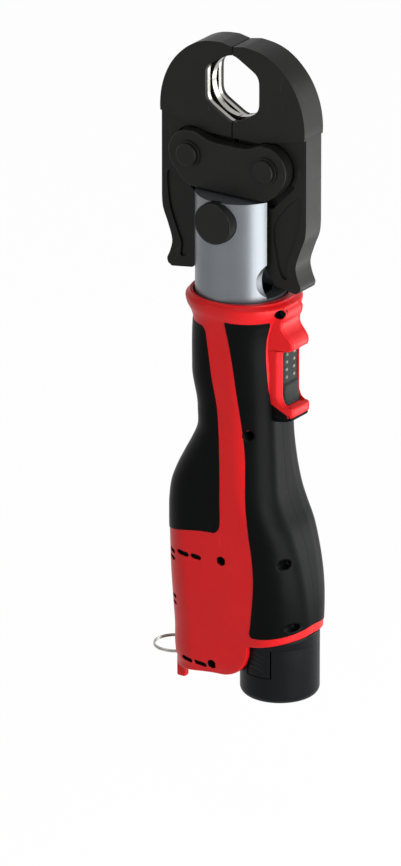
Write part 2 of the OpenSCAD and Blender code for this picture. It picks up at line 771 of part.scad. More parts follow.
// One half of the body, cut on the middle plane, with its screw bosses
module housing_half(side) {
    difference() {
        intersection() {
            union() {
                body_solid();
                intersection() {
                    union() {
                        body_skin(grip_t);
                        guard();
                    }
                    for (p = screw_places) bar_y(p[0], p[1], boss_r, -body_w, body_w);
                }
            }
            translate([-body_l, side > 0 ? film : -body_l - film, -body_drop - 2 * body_l])
                cube([2 * body_l, body_l, 2 * body_l + overrun]);
        }
        for (p = screw_places) {
            bar_y(p[0], p[1], screw_r + seat_gap, -body_w, screw_end + overrun);
            bar_y(p[0], p[1], screw_head_r + slide_gap, -body_w, -p[2]);
        }
    }
}
module near_housing() { color(red_plastic) housing_half(-1); }
module far_housing() { color(red_plastic) housing_half(1); }

// Rubber panels over the housing, split on the same middle plane
module grip_panel(side) {
    difference() {
        intersection() {
            difference() {
                body_skin(0);
                body_skin(grip_t - seat_gap);
            }
            children(0);
            translate([-body_l, side > 0 ? film : -body_l - film, -body_drop - 2 * body_l])
                cube([2 * body_l, body_l, 2 * body_l]);
        }
        guard();
        for (p = screw_places) bar_y(p[0], p[1], screw_head_r + slide_gap, -body_w, -p[2]);
        translate([guard_root - wall, -guard_half, window_low - lip_t])
            cube([guard_reach, 2 * guard_half, hood_top - window_low + lip_t]);
    }
}
module near_front_grip() { color(black_rubber) grip_panel(-1) front_grip_field(); }
module far_front_grip() { color(black_rubber) grip_panel(1) front_grip_field(); }
module near_rear_grip() { color(black_rubber) grip_panel(-1) rear_grip_field(); }
module far_rear_grip() { color(black_rubber) grip_panel(1) rear_grip_field(); }

module housing_screws() {
    color(black_steel) for (p = screw_places) {
        difference() {
            union() {
                bar_y(p[0], p[1], screw_head_r, -p[2] - screw_head_t, -p[2] - seat_gap);
                bar_y(p[0], p[1], screw_r, -p[2] - screw_head_t / 2, screw_end);
            }
            slab(-p[2] - 2 * screw_head_t, -p[2] - screw_head_t / 2)
                translate([p[0], p[1]]) circle(screw_r, $fn = 6);
        }
    }
}

// Trigger: a curved paddle in the guard's window, with raised dots on its upper part
trigger_front = 35;
trigger_back = 30.2;
trigger_dip = 1.5;
dot_r = 1.1;
dot_rise = 0.7;
dot_rows = 4;
dot_pitch = 5;
trigger_shares = [0.55, 0.25];
module trigger() {
    low = window_low + slide_gap;
    high = window_top - slide_gap;
    tall = high - low;
    color(dark_plastic) union() {
        mid_slab(trigger_w) polygon(concat(
            [[trigger_back, low], [trigger_back, high]],
            smooth_open([[trigger_front, high], [trigger_front - trigger_dip, low + tall * trigger_shares[0]],
                [trigger_front - trigger_dip / 2, low + tall * trigger_shares[1]], [trigger_front, low]],
                curve_steps)));
        for (row = [0:dot_rows - 1], side = [-1, 1])
            translate([trigger_front - trigger_dip - dot_rise, side * trigger_w / 4,
                high - dot_pitch / 2 - row * dot_pitch])
                rotate([0, 90, 0])
                    cylinder(r = dot_r, h = trigger_dip + 2 * dot_rise - trigger_dip * row / dot_rows);
    }
}

// Switch behind the trigger, and the spring that pushes the trigger out
switch_front = 25.8;
switch_back = mech_r + slide_gap * 2;
switch_half = trigger_w / 2;
switch_h = window_h - 2 * rounding;
trigger_z = (window_top + window_low) / 2;
trigger_wire = 0.4;
trigger_coil_r = 3;
trigger_turns = 3;
module switch_module() {
    color(dark_plastic) translate([switch_back, -switch_half, trigger_z - switch_h / 2])
        cube([switch_front - switch_back, 2 * switch_half, switch_h]);
}
module trigger_spring() {
    color(bright_steel) translate([switch_front + seat_gap, 0, trigger_z]) rotate([0, 90, 0])
        coil(trigger_coil_r, trigger_wire, trigger_back - switch_front - 2 * seat_gap, trigger_turns);
}

// Pump: a block with a radial plunger that an eccentric drives, and a rubber oil bladder round its neck
pump_top = tube_low - slide_gap;
pump_share = 0.0844;
pump_h = body_l * pump_share;
pump_low = pump_top - pump_h;
neck_r = 12;
neck_flange = 1.5;
bladder_h = 8;
eccentric = 1.2;
shaft_r = 3.5;
lobe_r = 5;
lobe_bearing_r = 7;
lobe_h = 6;
lobe_rise = 2.5;
lobe_low = pump_low + lobe_rise;
cavity_r = lobe_bearing_r + eccentric + 2 * slide_gap;
cavity_h = 11;
plunger_r = 2.5;
plunger_z = lobe_low + lobe_h / 2;
plunger_in = lobe_bearing_r + eccentric + slide_gap;
plunger_l = 8;
module pump_block() {
    bladder_top = pump_top - neck_flange;
    color(satin_metal) difference() {
        bar_z(mech_r, pump_low, pump_top);
        tube_z(mech_r + overrun, neck_r, bladder_top - bladder_h, bladder_top);
        bar_z(cavity_r, pump_low - overrun, pump_low + cavity_h);
        bar_z(shaft_r + run_gap, pump_low, pump_low + cavity_h + neck_flange * 3);
        translate([0, 0, plunger_z]) rotate([0, 90, 0])
            cylinder(r = plunger_r + run_gap, h = mech_r + overrun);
    }
}
module pump_plunger() {
    color(bright_steel) translate([plunger_in, 0, plunger_z]) rotate([0, 90, 0])
        cylinder(r = plunger_r, h = plunger_l);
}
module oil_bladder() {
    bladder_top = pump_top - neck_flange;
    color(black_rubber)
        tube_z(mech_r, neck_r + seat_gap, bladder_top - bladder_h + seat_gap, bladder_top - seat_gap);
}

// Gear train: twelve-tooth sun and planets in a ring of thirty-six teeth
gear_m = 0.9;
sun_teeth = 12;
ring_teeth = 3 * sun_teeth;
root_share = 0.285;
tip_share = 0.08;
addendum = 0.75;
dedendum = 1.05;
gear_h = 8;
gearbox_share = 0.076;
gearbox_h = body_l * gearbox_share;
planet_r = gear_m * sun_teeth;
gearbox_top = pump_low;
gearbox_low = gearbox_top - gearbox_h;
carrier_t = 4;
carrier_gap = 1;
carrier_r = planet_r + gear_m * 3;
gear_top = gearbox_top - carrier_t - 2 * carrier_gap;
planet_pin_r = 2;
function tooth_ring(teeth, root, tip) = let (pitch = 360 / teeth) [for (i = [0:teeth - 1]) each [
    root * [cos(pitch * (i - root_share)), sin(pitch * (i - root_share))],
    tip * [cos(pitch * (i - tip_share)), sin(pitch * (i - tip_share))],
    tip * [cos(pitch * (i + tip_share)), sin(pitch * (i + tip_share))],
    root * [cos(pitch * (i + root_share)), sin(pitch * (i + root_share))]]];
module spur(teeth) {
    pitch_r = gear_m * teeth / 2;
    polygon(tooth_ring(teeth, pitch_r - gear_m * dedendum, pitch_r + gear_m * addendum));
}
module ring_gear() {
    pitch_r = gear_m * ring_teeth / 2;
    color(bright_steel) difference() {
        bar_z(mech_r, gearbox_low, gearbox_top);
        bar_z(pitch_r - gear_m * addendum, gearbox_top - carrier_t - carrier_gap, gearbox_top + overrun);
        translate([0, 0, gearbox_low - overrun]) linear_extrude(gear_top + overrun - gearbox_low)
            polygon(tooth_ring(ring_teeth, pitch_r + gear_m * dedendum, pitch_r - gear_m * addendum));
        bar_z(carrier_r + slide_gap, gear_top - overrun, gearbox_top - carrier_t);
    }
}
module sun_gear() {
    color(bright_steel) translate([0, 0, gear_top - gear_h]) linear_extrude(gear_h) difference() {
        spur(sun_teeth);
        circle(rotor_shaft_r + seat_gap);
    }
}
module planet(turn) {
    color(bright_steel) rotate([0, 0, turn]) translate([planet_r, 0, gear_top - gear_h])
        linear_extrude(gear_h) difference() {
            rotate(180 / sun_teeth) spur(sun_teeth);
            circle(planet_pin_r + run_gap);
        }
}
module planet_gear_a() { planet(0); }
module planet_gear_b() { planet(120); }
module planet_gear_c() { planet(240); }

// Planet carrier with its three pins below, and the pump's eccentric shaft above
module planet_carrier() {
    carrier_low = gearbox_top - carrier_t - carrier_gap;
    color(satin_metal) union() {
        bar_z(carrier_r, carrier_low, gearbox_top - carrier_gap);
        for (turn = [0, 120, 240]) rotate([0, 0, turn]) translate([planet_r, 0, 0])
            bar_z(planet_pin_r, gear_top - gear_h, carrier_low + overrun);
        bar_z(shaft_r, gearbox_top - carrier_gap - overrun, pump_low + cavity_h + neck_flange * 2);
        translate([eccentric, 0, 0]) bar_z(lobe_r, lobe_low, lobe_low + lobe_h);
    }
}
module eccentric_bearing() {
    color(bright_steel) translate([eccentric, 0, 0])
        tube_z(lobe_bearing_r, lobe_r + seat_gap, lobe_low, lobe_low + lobe_h);
}

// Motor: can with a bored front plate, rear cap, and a rotor on its shaft
motor_top = gearbox_low;
motor_share = 0.173;
motor_l = body_l * motor_share;
motor_cap_t = 3;
motor_low = motor_top - motor_l - motor_cap_t;
motor_plate_t = 3;
can_wall = 2.5;
rotor_r = 14.2;
rotor_shaft_r = 2.5;
rotor_end_gap = 4;
module motor_can() {
    color(satin_metal) difference() {
        bar_z(mech_r, motor_top - motor_l, motor_top);
        bar_z(mech_r - can_wall, motor_top - motor_l - overrun, motor_top - motor_plate_t);
        bar_z(rotor_shaft_r + run_gap, motor_top - motor_plate_t - overrun, motor_top + overrun);
    }
}
module motor_end_cap() {
    color(dark_plastic) tube_z(mech_r, rotor_shaft_r + run_gap, motor_low, motor_low + motor_cap_t);
}
module motor_rotor() {
    color(bronze) union() {
        bar_z(rotor_shaft_r, motor_low, gear_top);
        bar_z(rotor_r, motor_low + motor_cap_t + rotor_end_gap, motor_top - motor_plate_t - rotor_end_gap);
    }
}

// Electronics: a control board against the rear wall, and the block that takes the battery's contacts
board_t = 1.6;
board_half = 10;
board_z_share = 0.697;
board_share = 0.194;
board_gap = 2.6;
board_top = -body_drop - body_l * board_z_share;
board_l = body_l * board_share;
board_x = -rear_reach + grip_t + wall + board_gap;
module control_board() {
    color(green_board) translate([board_x, -board_half, board_top - board_l])
        cube([board_t, 2 * board_half, board_l]);
}
contact_block_r = 15;
module contact_block() {
    color(dark_plastic) difference() {
        translate([pack_x, 0, 0]) bar_z(contact_block_r, contact_low, contact_low + contact_block_h);
        for (side = [-1, 0, 1])
            translate([pack_x - contact_w, side * contact_pitch - contact_t, contact_low - overrun])
                cube([2 * contact_w, 2 * contact_t, contact_h + 2 * overrun]);
    }
}

// Battery: base with a rounded lower edge, stem round three cells, contacts, and a latch on each side
pack_rounding = 5;
latch_angle = 21;
latch_t = 2.9;
latch_travel = 1.2;
latch_h = 18.5;
latch_room = latch_t + latch_travel + slide_gap;
latch_drop = 0.8;
latch_gap_angle = 1.6;
latch_top = pack_top - latch_drop;
contact_w = 4;
contact_t = 0.8;
contact_pitch = 7;
module latch_field(r_in, r_out, angle, low, high) {
    translate([pack_x, 0, low]) linear_extrude(high - low) difference() {
        polygon(concat([[0, 0]], arc([0, 0], r_out, -90 - angle, -90 + angle, 12)));
        circle(r_in);
    }
}
module battery_case() {
    color(dark_plastic) difference() {
        translate([pack_x, 0, 0]) union() {
            rotate_extrude() polygon(concat(
                [[0, pack_low]],
                arc([pack_r - pack_rounding, pack_low + pack_rounding], pack_rounding, -90, 0, 8),
                [[pack_r, pack_top - slide_gap], [0, pack_top - slide_gap]]));
            bar_z(stem_r, pack_top - overrun, stem_top);
        }
        for (turn = [0, 120, 240]) translate([pack_x, 0, 0]) rotate([0, 0, turn])
            translate([cell_place, 0, 0]) bar_z(cell_r + seat_gap, cell_low, cell_low + cell_l);
        for (flip = [0, 1]) mirror([0, flip, 0])
            latch_field(pack_r - latch_room, 2 * pack_r, latch_angle,
                latch_top - latch_h - slide_gap, pack_top);
    }
}
module battery_cells() {
    color(bright_steel) for (turn = [0, 120, 240]) translate([pack_x, 0, 0]) rotate([0, 0, turn])
        translate([cell_place, 0, 0]) bar_z(cell_r, cell_low, cell_low + cell_l - seat_gap);
}
module battery_contacts() {
    color(bronze) for (side = [-1, 0, 1])
        translate([pack_x - contact_w / 2, side * contact_pitch - contact_t / 2, stem_top])
            cube([contact_w, contact_t, contact_h]);
}
module battery_latch() {
    color(dark_plastic) intersection() {
        latch_field(pack_r - latch_t, 2 * pack_r, latch_angle - latch_gap_angle,
            latch_top - latch_h, latch_top);
        translate([pack_x, 0, 0]) bar_z(pack_r, pack_low, pack_top);
    }
}
module near_battery_latch() { battery_latch(); }
module far_battery_latch() { mirror([0, 1, 0]) battery_latch(); }

module lanyard_ring() {
    color(bright_steel) translate([lanyard_x, 0, lanyard_z]) rotate_extrude()
        translate([lanyard_r, 0]) circle(ring_wire_r);
}
module lanyard_post() {
    color(bright_steel) translate([post_x, 0, 0])
        bar_z(post_r, lanyard_z - recess_h + seat_gap, lanyard_z + recess_h - seat_gap);
}

left_jaw_lever();
right_jaw_lever();
front_side_plate();
rear_side_plate();
left_pivot_bolt();
right_pivot_bolt();
bolt_snap_rings();
retaining_pin();
fork_head();
left_roller();
right_roller();
roller_pins();
roller_carrier();
piston();
piston_seal();
return_spring();
rod_gland();
cylinder_tube();
swivel_bush();
swivel_circlip();
near_housing();
far_housing();
near_front_grip();
far_front_grip();
near_rear_grip();
far_rear_grip();
housing_screws();
trigger();
trigger_spring();
switch_module();
pump_block();
pump_plunger();
oil_bladder();
eccentric_bearing();
ring_gear();
sun_gear();
planet_gear_a();
planet_gear_b();
planet_gear_c();
planet_carrier();
motor_can();
motor_end_cap();
motor_rotor();
control_board();
contact_block();
battery_case();
battery_cells();
battery_contacts();
near_battery_latch();
far_battery_latch();
lanyard_ring();
lanyard_post();
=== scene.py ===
"""Dresses an inline cordless press tool: black steel jaw, satin fork head, red and black body, battery."""

import json
import logging
import math
from dataclasses import dataclass, field
from enum import Enum
from typing import Callable

import bmesh
import bpy
import numpy as np
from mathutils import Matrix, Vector


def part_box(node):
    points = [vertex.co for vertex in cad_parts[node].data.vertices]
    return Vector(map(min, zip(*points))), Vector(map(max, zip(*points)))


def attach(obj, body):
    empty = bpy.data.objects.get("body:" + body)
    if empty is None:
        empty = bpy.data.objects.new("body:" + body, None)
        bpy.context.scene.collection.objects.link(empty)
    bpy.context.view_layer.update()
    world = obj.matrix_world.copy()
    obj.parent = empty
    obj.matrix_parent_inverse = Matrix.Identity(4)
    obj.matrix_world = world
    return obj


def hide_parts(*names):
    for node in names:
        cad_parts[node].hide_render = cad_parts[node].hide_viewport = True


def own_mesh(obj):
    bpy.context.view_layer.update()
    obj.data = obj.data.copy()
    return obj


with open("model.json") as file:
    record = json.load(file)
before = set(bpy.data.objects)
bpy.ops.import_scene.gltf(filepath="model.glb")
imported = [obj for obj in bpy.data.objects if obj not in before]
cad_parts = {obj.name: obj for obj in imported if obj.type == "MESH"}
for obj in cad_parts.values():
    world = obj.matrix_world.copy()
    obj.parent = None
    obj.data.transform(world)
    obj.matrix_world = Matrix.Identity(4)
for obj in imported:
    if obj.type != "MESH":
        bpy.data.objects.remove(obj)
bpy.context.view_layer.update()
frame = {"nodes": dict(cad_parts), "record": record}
LOG = logging.getLogger("press_tool")
MM = 0.001
Array = np.ndarray
Material, Object, Node, NodeTree = bpy.types.Material, bpy.types.Object, bpy.types.Node, bpy.types.NodeTree


def table(*rows: list[float]) -> Array:
    """Default of a dataclass field that holds rows of numbers."""
    return field(default_factory=lambda: np.array(rows, float))


def smooth_step(t: Array) -> Array:
    """Ease from 0 to 1 with level ends: 3t^2 - 2t^3 of the clipped value."""
    t = np.clip(t, 0.0, 1.0)
    return t * t * (3 - 2 * t)


def smooth_curve(x: Array, xs: Array, ys: Array) -> Array:
    """Cubic curve through given points, with slopes taken from each point's neighbours.

    Args:
        x: Places where the curve is wanted.
        xs: Rising places of the given points.
        ys: Values of the given points.

    Returns:
        The curve's value at each place, held level past both ends.
    """
    xs, ys = np.asarray(xs, float), np.asarray(ys, float)
    step = np.diff(xs)
    rise = np.diff(ys) / step
    slope = np.zeros_like(ys)
    same = rise[:-1] * rise[1:] > 0
    blend = (step[1:] * rise[:-1] + step[:-1] * rise[1:]) / (step[1:] + step[:-1])
    slope[1:-1] = np.where(same, blend, 0.0)
    x = np.clip(x, xs[0], xs[-1])
    i = np.clip(np.searchsorted(xs, x, side="right") - 1, 0, len(xs) - 2)
    t = (x - xs[i]) / step[i]
    return ((2 * t**3 - 3 * t**2 + 1) * ys[i] + (t**3 - 2 * t**2 + t) * step[i] * slope[i]
            + (3 * t**2 - 2 * t**3) * ys[i + 1] + (t**3 - t**2) * step[i] * slope[i + 1])


def grid_faces(rows: int, cols: int, wrap_rows: bool = False, wrap_cols: bool = False) -> Array:
    """Corner numbers of the four-sided faces between neighbours on a grid of points.

    Args:
        rows: Count of points along the first parameter.
        cols: Count of points along the second parameter.
        wrap_rows: Whether the last row meets the first.
        wrap_cols: Whether the last column meets the first.

    Returns:
        One row of four point numbers for each face.
    """
    r = np.arange(rows if wrap_rows else rows - 1)[:, None]
    c = np.arange(cols if wrap_cols else cols - 1)[None, :]
    r2, c2 = (r + 1) % rows, (c + 1) % cols
    quads = np.stack([r * cols + c, r * cols + c2, r2 * cols + c2, r2 * cols + c], axis=-1)
    return quads.reshape(-1, 4)


def mesh_object(name: str, points: Array, faces: list, material: Material,
                outward: bool = True) -> Object:
    """Make a smooth-shaded mesh object from points in millimetres.

    Args:
        name: Name of the piece.
        points: Points, one row each, in millimetres.
        faces: Lists of point numbers.
        material: Finish of the piece.
        outward: Whether to merge doubled points and turn all faces outwards.

    Returns:
        The new object, at the origin.
    """
    mesh = bpy.data.meshes.new(name)
    mesh.from_pydata((points.reshape(-1, 3) * MM).tolist(), [], [list(map(int, f)) for f in faces])
    if outward:
        work = bmesh.new()
        work.from_mesh(mesh)
        bmesh.ops.remove_doubles(work, verts=work.verts, dist=2e-6)
        bmesh.ops.dissolve_degenerate(work, edges=work.edges, dist=1e-7)
        bmesh.ops.recalc_face_normals(work, faces=work.faces)
        work.to_mesh(mesh)
        work.free()
    mesh.polygons.foreach_set("use_smooth", np.ones(len(mesh.polygons), bool))
    mesh.materials.append(material)
    piece = bpy.data.objects.new(name, mesh)
    bpy.context.scene.collection.objects.link(piece)
    return piece


def sharpen(piece: Object, degrees: float = 30.0) -> None:
    """Mark every edge that turns by more than an angle as sharp, so that flats stay flat."""
    work = bmesh.new()
    work.from_mesh(piece.data)
    limit = math.radians(degrees)
    for edge in work.edges:
        edge.smooth = not (edge.is_manifold and edge.calc_face_angle(0.0) > limit)
    work.to_mesh(piece.data)
    work.free()


def bevelled(piece: Object, width_mm: float, segments: int = 3, degrees: float = 30.0) -> None:
    """Round the piece's sharp edges with a live bevel whose normals follow the flats."""
    bevel = piece.modifiers.new("edge_round", "BEVEL")
    bevel.width = width_mm * MM
    bevel.segments = segments
    bevel.limit_method = "ANGLE"
    bevel.angle_limit = math.radians(degrees)
    bevel.harden_normals = True
    bevel.miter_outer = "MITER_ARC"
    bevel.use_clamp_overlap = True


def placed(piece: Object, body: str, slot: str, *nodes: str) -> Object:
    """Ride a piece on its body and hide the CAD nodes that it stands for, if any.

    Args:
        piece: The finished piece.
        body: Body of the frame that it moves with.
        slot: Material slot of the record; not used.
        *nodes: CAD nodes that it replaces, if any.

    Returns:
        The same piece.
    """
    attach(piece, body)
    if nodes:
        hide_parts(*nodes)
    LOG.info("%s rides on %s (%d faces)", piece.name, body, len(piece.data.polygons))
    return piece


def solid_copy(node: str, name: str, material: Material, width: float) -> Object:
    """Copy a solid's mesh, merge its loose triangles into flats and round its edges.

    Args:
        node: CAD node.
        name: Name of the new piece.
        material: Its finish.
        width: Width of the rounding in millimetres, or zero for none.

    Returns:
        The new piece, not yet riding on anything.
    """
    mesh = frame["nodes"][node].data.copy()
    mesh.name = name
    mesh.materials.clear()
    mesh.materials.append(material)
    work = bmesh.new()
    work.from_mesh(mesh)
    bmesh.ops.remove_doubles(work, verts=work.verts, dist=2e-6)
    bmesh.ops.dissolve_limit(work, angle_limit=math.radians(0.4), verts=work.verts, edges=work.edges)
    for face in work.faces:
        face.smooth = True
        face.material_index = 0
    work.to_mesh(mesh)
    work.free()
    if mesh.has_custom_normals:
        mesh.attributes.remove(mesh.attributes["custom_normal"])
    piece = bpy.data.objects.new(name, mesh)
    bpy.context.scene.collection.objects.link(piece)
    sharpen(piece)
    if width > 0:
        bevelled(piece, width)
    return piece


def lathe(profile: Array, turns: int = 96) -> tuple[Array, Array]:
    """Carry a profile of radius and height round the Z axis.

    Args:
        profile: Rows of radius and height.
        turns: Count of steps round the axis.

    Returns:
        Points on a grid of profile by angle, and its faces.
    """
    angle = np.linspace(0, 2 * np.pi, turns, endpoint=False)
    r, z = profile[:, 0:1], profile[:, 1:2]
    points = np.stack([r * np.cos(angle), r * np.sin(angle), np.broadcast_to(z, (len(profile), turns))], -1)
    return points, grid_faces(len(profile), turns, wrap_cols=True)


def mirrored(points: Array, far: bool) -> Array:
    """Turn near-side points to the far side by changing the sign of Y."""
    return points * np.array([1.0, -1.0, 1.0]) if far else points


def lifted(level: Array, z: Array) -> Array:
    """Give each row of level X and Y places its height."""
    return np.concatenate([level, np.broadcast_to(z[:, None, None], (*level.shape[:2], 1))], -1)


def side_faces(grid: Array, far: bool, ring: bool = False) -> Array:
    """Faces of a grid that was drawn on the near side, turned outwards on the side where it now is."""
    quads = grid_faces(*grid.shape[:2], wrap_cols=ring)
    return quads if far else quads[:, ::-1]


def joined(grids: list[Array], faces: list[Array]) -> tuple[Array, Array]:
    """Join grids of points, and the four-sided faces of each, into one list of both."""
    starts = np.cumsum([0] + [grid.size // 3 for grid in grids[:-1]])
    return (np.concatenate([grid.reshape(-1, 3) for grid in grids]),
            np.concatenate([quads + start for quads, start in zip(faces, starts)]))


def two_tone(piece: Object, second: Material, where: Array) -> None:
    """Give the faces that a mask picks a second finish."""
    piece.data.materials.append(second)
    piece.data.polygons.foreach_set("material_index", where.astype(np.int32))


def get_points(piece: Object) -> Array:
    """A mesh's points in millimetres, one row each."""
    places = np.empty(len(piece.data.vertices) * 3)
    piece.data.vertices.foreach_get("co", places)
    return places.reshape(-1, 3) / MM


def set_points(piece: Object, points: Array) -> None:
    """Move a mesh's points to places in millimetres."""
    piece.data.vertices.foreach_set("co", (points * MM).ravel())
    piece.data.update()


def set_inputs(node: Node, values: dict) -> None:
    """Set the constants of a node's sockets."""
    for socket, value in values.items():
        node.inputs[socket].default_value = value


def add(tree: NodeTree, kind: str, values: dict | None = None, **settings: object) -> Node:
    """Add a shader node, with its settings first and then the constants of its sockets."""
    node = tree.nodes.new(f"ShaderNode{kind}")
    for key, setting in settings.items():
        setattr(node, key, setting)
    set_inputs(node, values or {})
    return node


def wire(tree: NodeTree, *links: tuple) -> None:
    """Link sockets, each link given as a node, its output, the next node and its input."""
    for source, output, goal, socket in links:
        tree.links.new(source.outputs[output], goal.inputs[socket])


def srgb(red: int, green: int, blue: int) -> tuple[float, float, float, float]:
    """Turn a screen colour of 0 to 255 into the linear colour that a shader takes."""
    c = np.array([red, green, blue]) / 255.0
    lin = np.where(c <= 0.04045, c / 12.92, ((c + 0.055) / 1.055) ** 2.4)
    return (*lin.tolist(), 1.0)


class Slot(Enum):
    """Material slots of the record."""
    BLACK_STEEL = "black_steel"
    BRIGHT_STEEL = "bright_steel"
    SATIN_METAL = "satin_metal"
    INNER_ALLOY = "inner_alloy"
    MOTOR_IRON = "motor_iron"
    RED_PLASTIC = "red_plastic"
    BLACK_RUBBER = "black_rubber"
    DARK_PLASTIC = "dark_plastic"
    BRONZE = "bronze"
    GREEN_BOARD = "green_board"


class Pattern(Enum):
    """Which surface pattern a finish carries."""
    GRAIN = "moulded_grain"
    BRUSHED = "brushed_streaks"


class PatternGroups:
    """Shader node groups shared by the finishes, each built once."""

    def __init__(self) -> None:
        """Build both groups."""
        self.groups = {Pattern.GRAIN: self._grain(), Pattern.BRUSHED: self._brushed()}

    @staticmethod
    def _new(name: str) -> tuple[NodeTree, Node, Node]:
        """Make a group that takes a place and a scale, and puts out a mask, scuffs and a height.

        The scuffs are sparse handling marks: stretched noise kept only where a broad noise is high.

        Args:
            name: Name of the group.

        Returns:
            The group with its scuffs, its input node and its output node.
        """
        tree = bpy.data.node_groups.new(name, "ShaderNodeTree")
        tree.interface.new_socket("Place", in_out="INPUT", socket_type="NodeSocketVector")
        tree.interface.new_socket("Scale", in_out="INPUT", socket_type="NodeSocketFloat")
        for label in ("Mask", "Scuff", "Height"):
            tree.interface.new_socket(label, in_out="OUTPUT", socket_type="NodeSocketFloat")
        source, out = tree.nodes.new("NodeGroupInput"), tree.nodes.new("NodeGroupOutput")
        stretch = add(tree, "Mapping", {"Scale": (420.0, 420.0, 60.0), "Rotation": (0.5, 0.35, 0.2)})
        fine = add(tree, "TexNoise", {"Scale": 1.0, "Detail": 3.0})
        ramp = add(tree, "MapRange", {"From Min": 0.62, "From Max": 0.74})
        broad = add(tree, "TexNoise", {"Scale": 38.0})
        keep = add(tree, "MapRange", {"From Min": 0.5, "From Max": 0.7})
        both = add(tree, "Math", operation="MULTIPLY")
        wire(tree, (source, "Place", stretch, "Vector"), (stretch, "Vector", fine, "Vector"),
             (fine, "Fac", ramp, "Value"), (source, "Place", broad, "Vector"), (broad, "Fac", keep, "Value"),
             (ramp, "Result", both, 0), (keep, "Result", both, 1), (both, "Value", out, "Scuff"))
        return tree, source, out

    def _grain(self) -> NodeTree:
        """Moulded or forged grain: a fine noise for height and a broad one for shade."""
        tree, source, out = self._new(Pattern.GRAIN.value)
        fine = add(tree, "TexNoise", {"Detail": 2.0})
        cells = add(tree, "TexVoronoi", feature="SMOOTH_F1")
        broad = add(tree, "TexNoise", {"Scale": 55.0, "Detail": 4.0})
        mixed = add(tree, "Math", operation="MULTIPLY")
        wire(tree, *((source, "Place", texture, "Vector") for texture in (fine, cells, broad)),
             (source, "Scale", fine, "Scale"), (source, "Scale", cells, "Scale"), (fine, "Fac", mixed, 0),
             (cells, "Distance", mixed, 1), (broad, "Fac", out, "Mask"), (mixed, "Value", out, "Height"))
        return tree

    def _brushed(self) -> NodeTree:
        """Turning marks: noise squeezed along the tool axis, so that it runs round in fine lines."""
        tree, source, out = self._new(Pattern.BRUSHED.value)
        squeeze = add(tree, "Mapping", {"Scale": (0.02, 0.02, 1.0)})
        lines = add(tree, "TexNoise", {"Detail": 4.0})
        broad = add(tree, "TexNoise", {"Scale": 45.0, "Detail": 3.0})
        shade = add(tree, "Math", operation="MULTIPLY")
        wire(tree, (source, "Place", squeeze, "Vector"), (squeeze, "Vector", lines, "Vector"),
             (source, "Scale", lines, "Scale"), (source, "Place", broad, "Vector"), (lines, "Fac", shade, 0),
             (broad, "Fac", shade, 1), (shade, "Value", out, "Mask"), (lines, "Fac", out, "Height"))
        return tree


@dataclass(frozen=True)
class Finish:
    """One procedural finish: two shades mixed by a pattern, with its gloss, relief and handling marks."""
    name: str
    slot: Slot
    shade: tuple[float, float, float, float]
    second: tuple[float, float, float, float]
    scuff: tuple[float, float, float, float]
    rough: tuple[float, float]
    metallic: float = 0.0
    specular: float = 0.5
    pattern: Pattern = Pattern.GRAIN
    scale: float = 2600.0
    relief: float = 0.15
    relief_depth: float = 0.0002
    coat: float = 0.0

    def build(self, groups: PatternGroups) -> Material:
        """Lay the finish out as shader nodes.

        Args:
            groups: The shared pattern groups.

        Returns:
            The material.
        """
        material = bpy.data.materials.new(self.name)
        material.use_nodes = True
        material.diffuse_color = self.shade
        tree = material.node_tree
        shader = tree.nodes["Principled BSDF"]
        set_inputs(shader, {"Metallic": self.metallic, "Specular IOR Level": self.specular,
                            "Coat Weight": self.coat, "Coat Roughness": 0.2})
        place = add(tree, "TexCoord")
        pattern = add(tree, "Group", {"Scale": self.scale}, node_tree=groups.groups[self.pattern])
        shades = add(tree, "Mix", {"A": self.shade, "B": self.second}, data_type="RGBA")
        marks = add(tree, "Mix", {"B": self.scuff}, data_type="RGBA")
        gloss = add(tree, "MapRange", {"To Min": self.rough[0], "To Max": self.rough[1]})
        bump = add(tree, "Bump", {"Strength": self.relief, "Distance": self.relief_depth})
        wire(tree, (place, "Object", pattern, "Place"), (pattern, "Mask", shades, "Factor"),
             (shades, "Result", marks, "A"), (pattern, "Scuff", marks, "Factor"),
             (marks, "Result", shader, "Base Color"), (pattern, "Mask", gloss, "Value"),
             (gloss, "Result", shader, "Roughness"), (pattern, "Height", bump, "Height"),
             (bump, "Normal", shader, "Normal"))
        return material


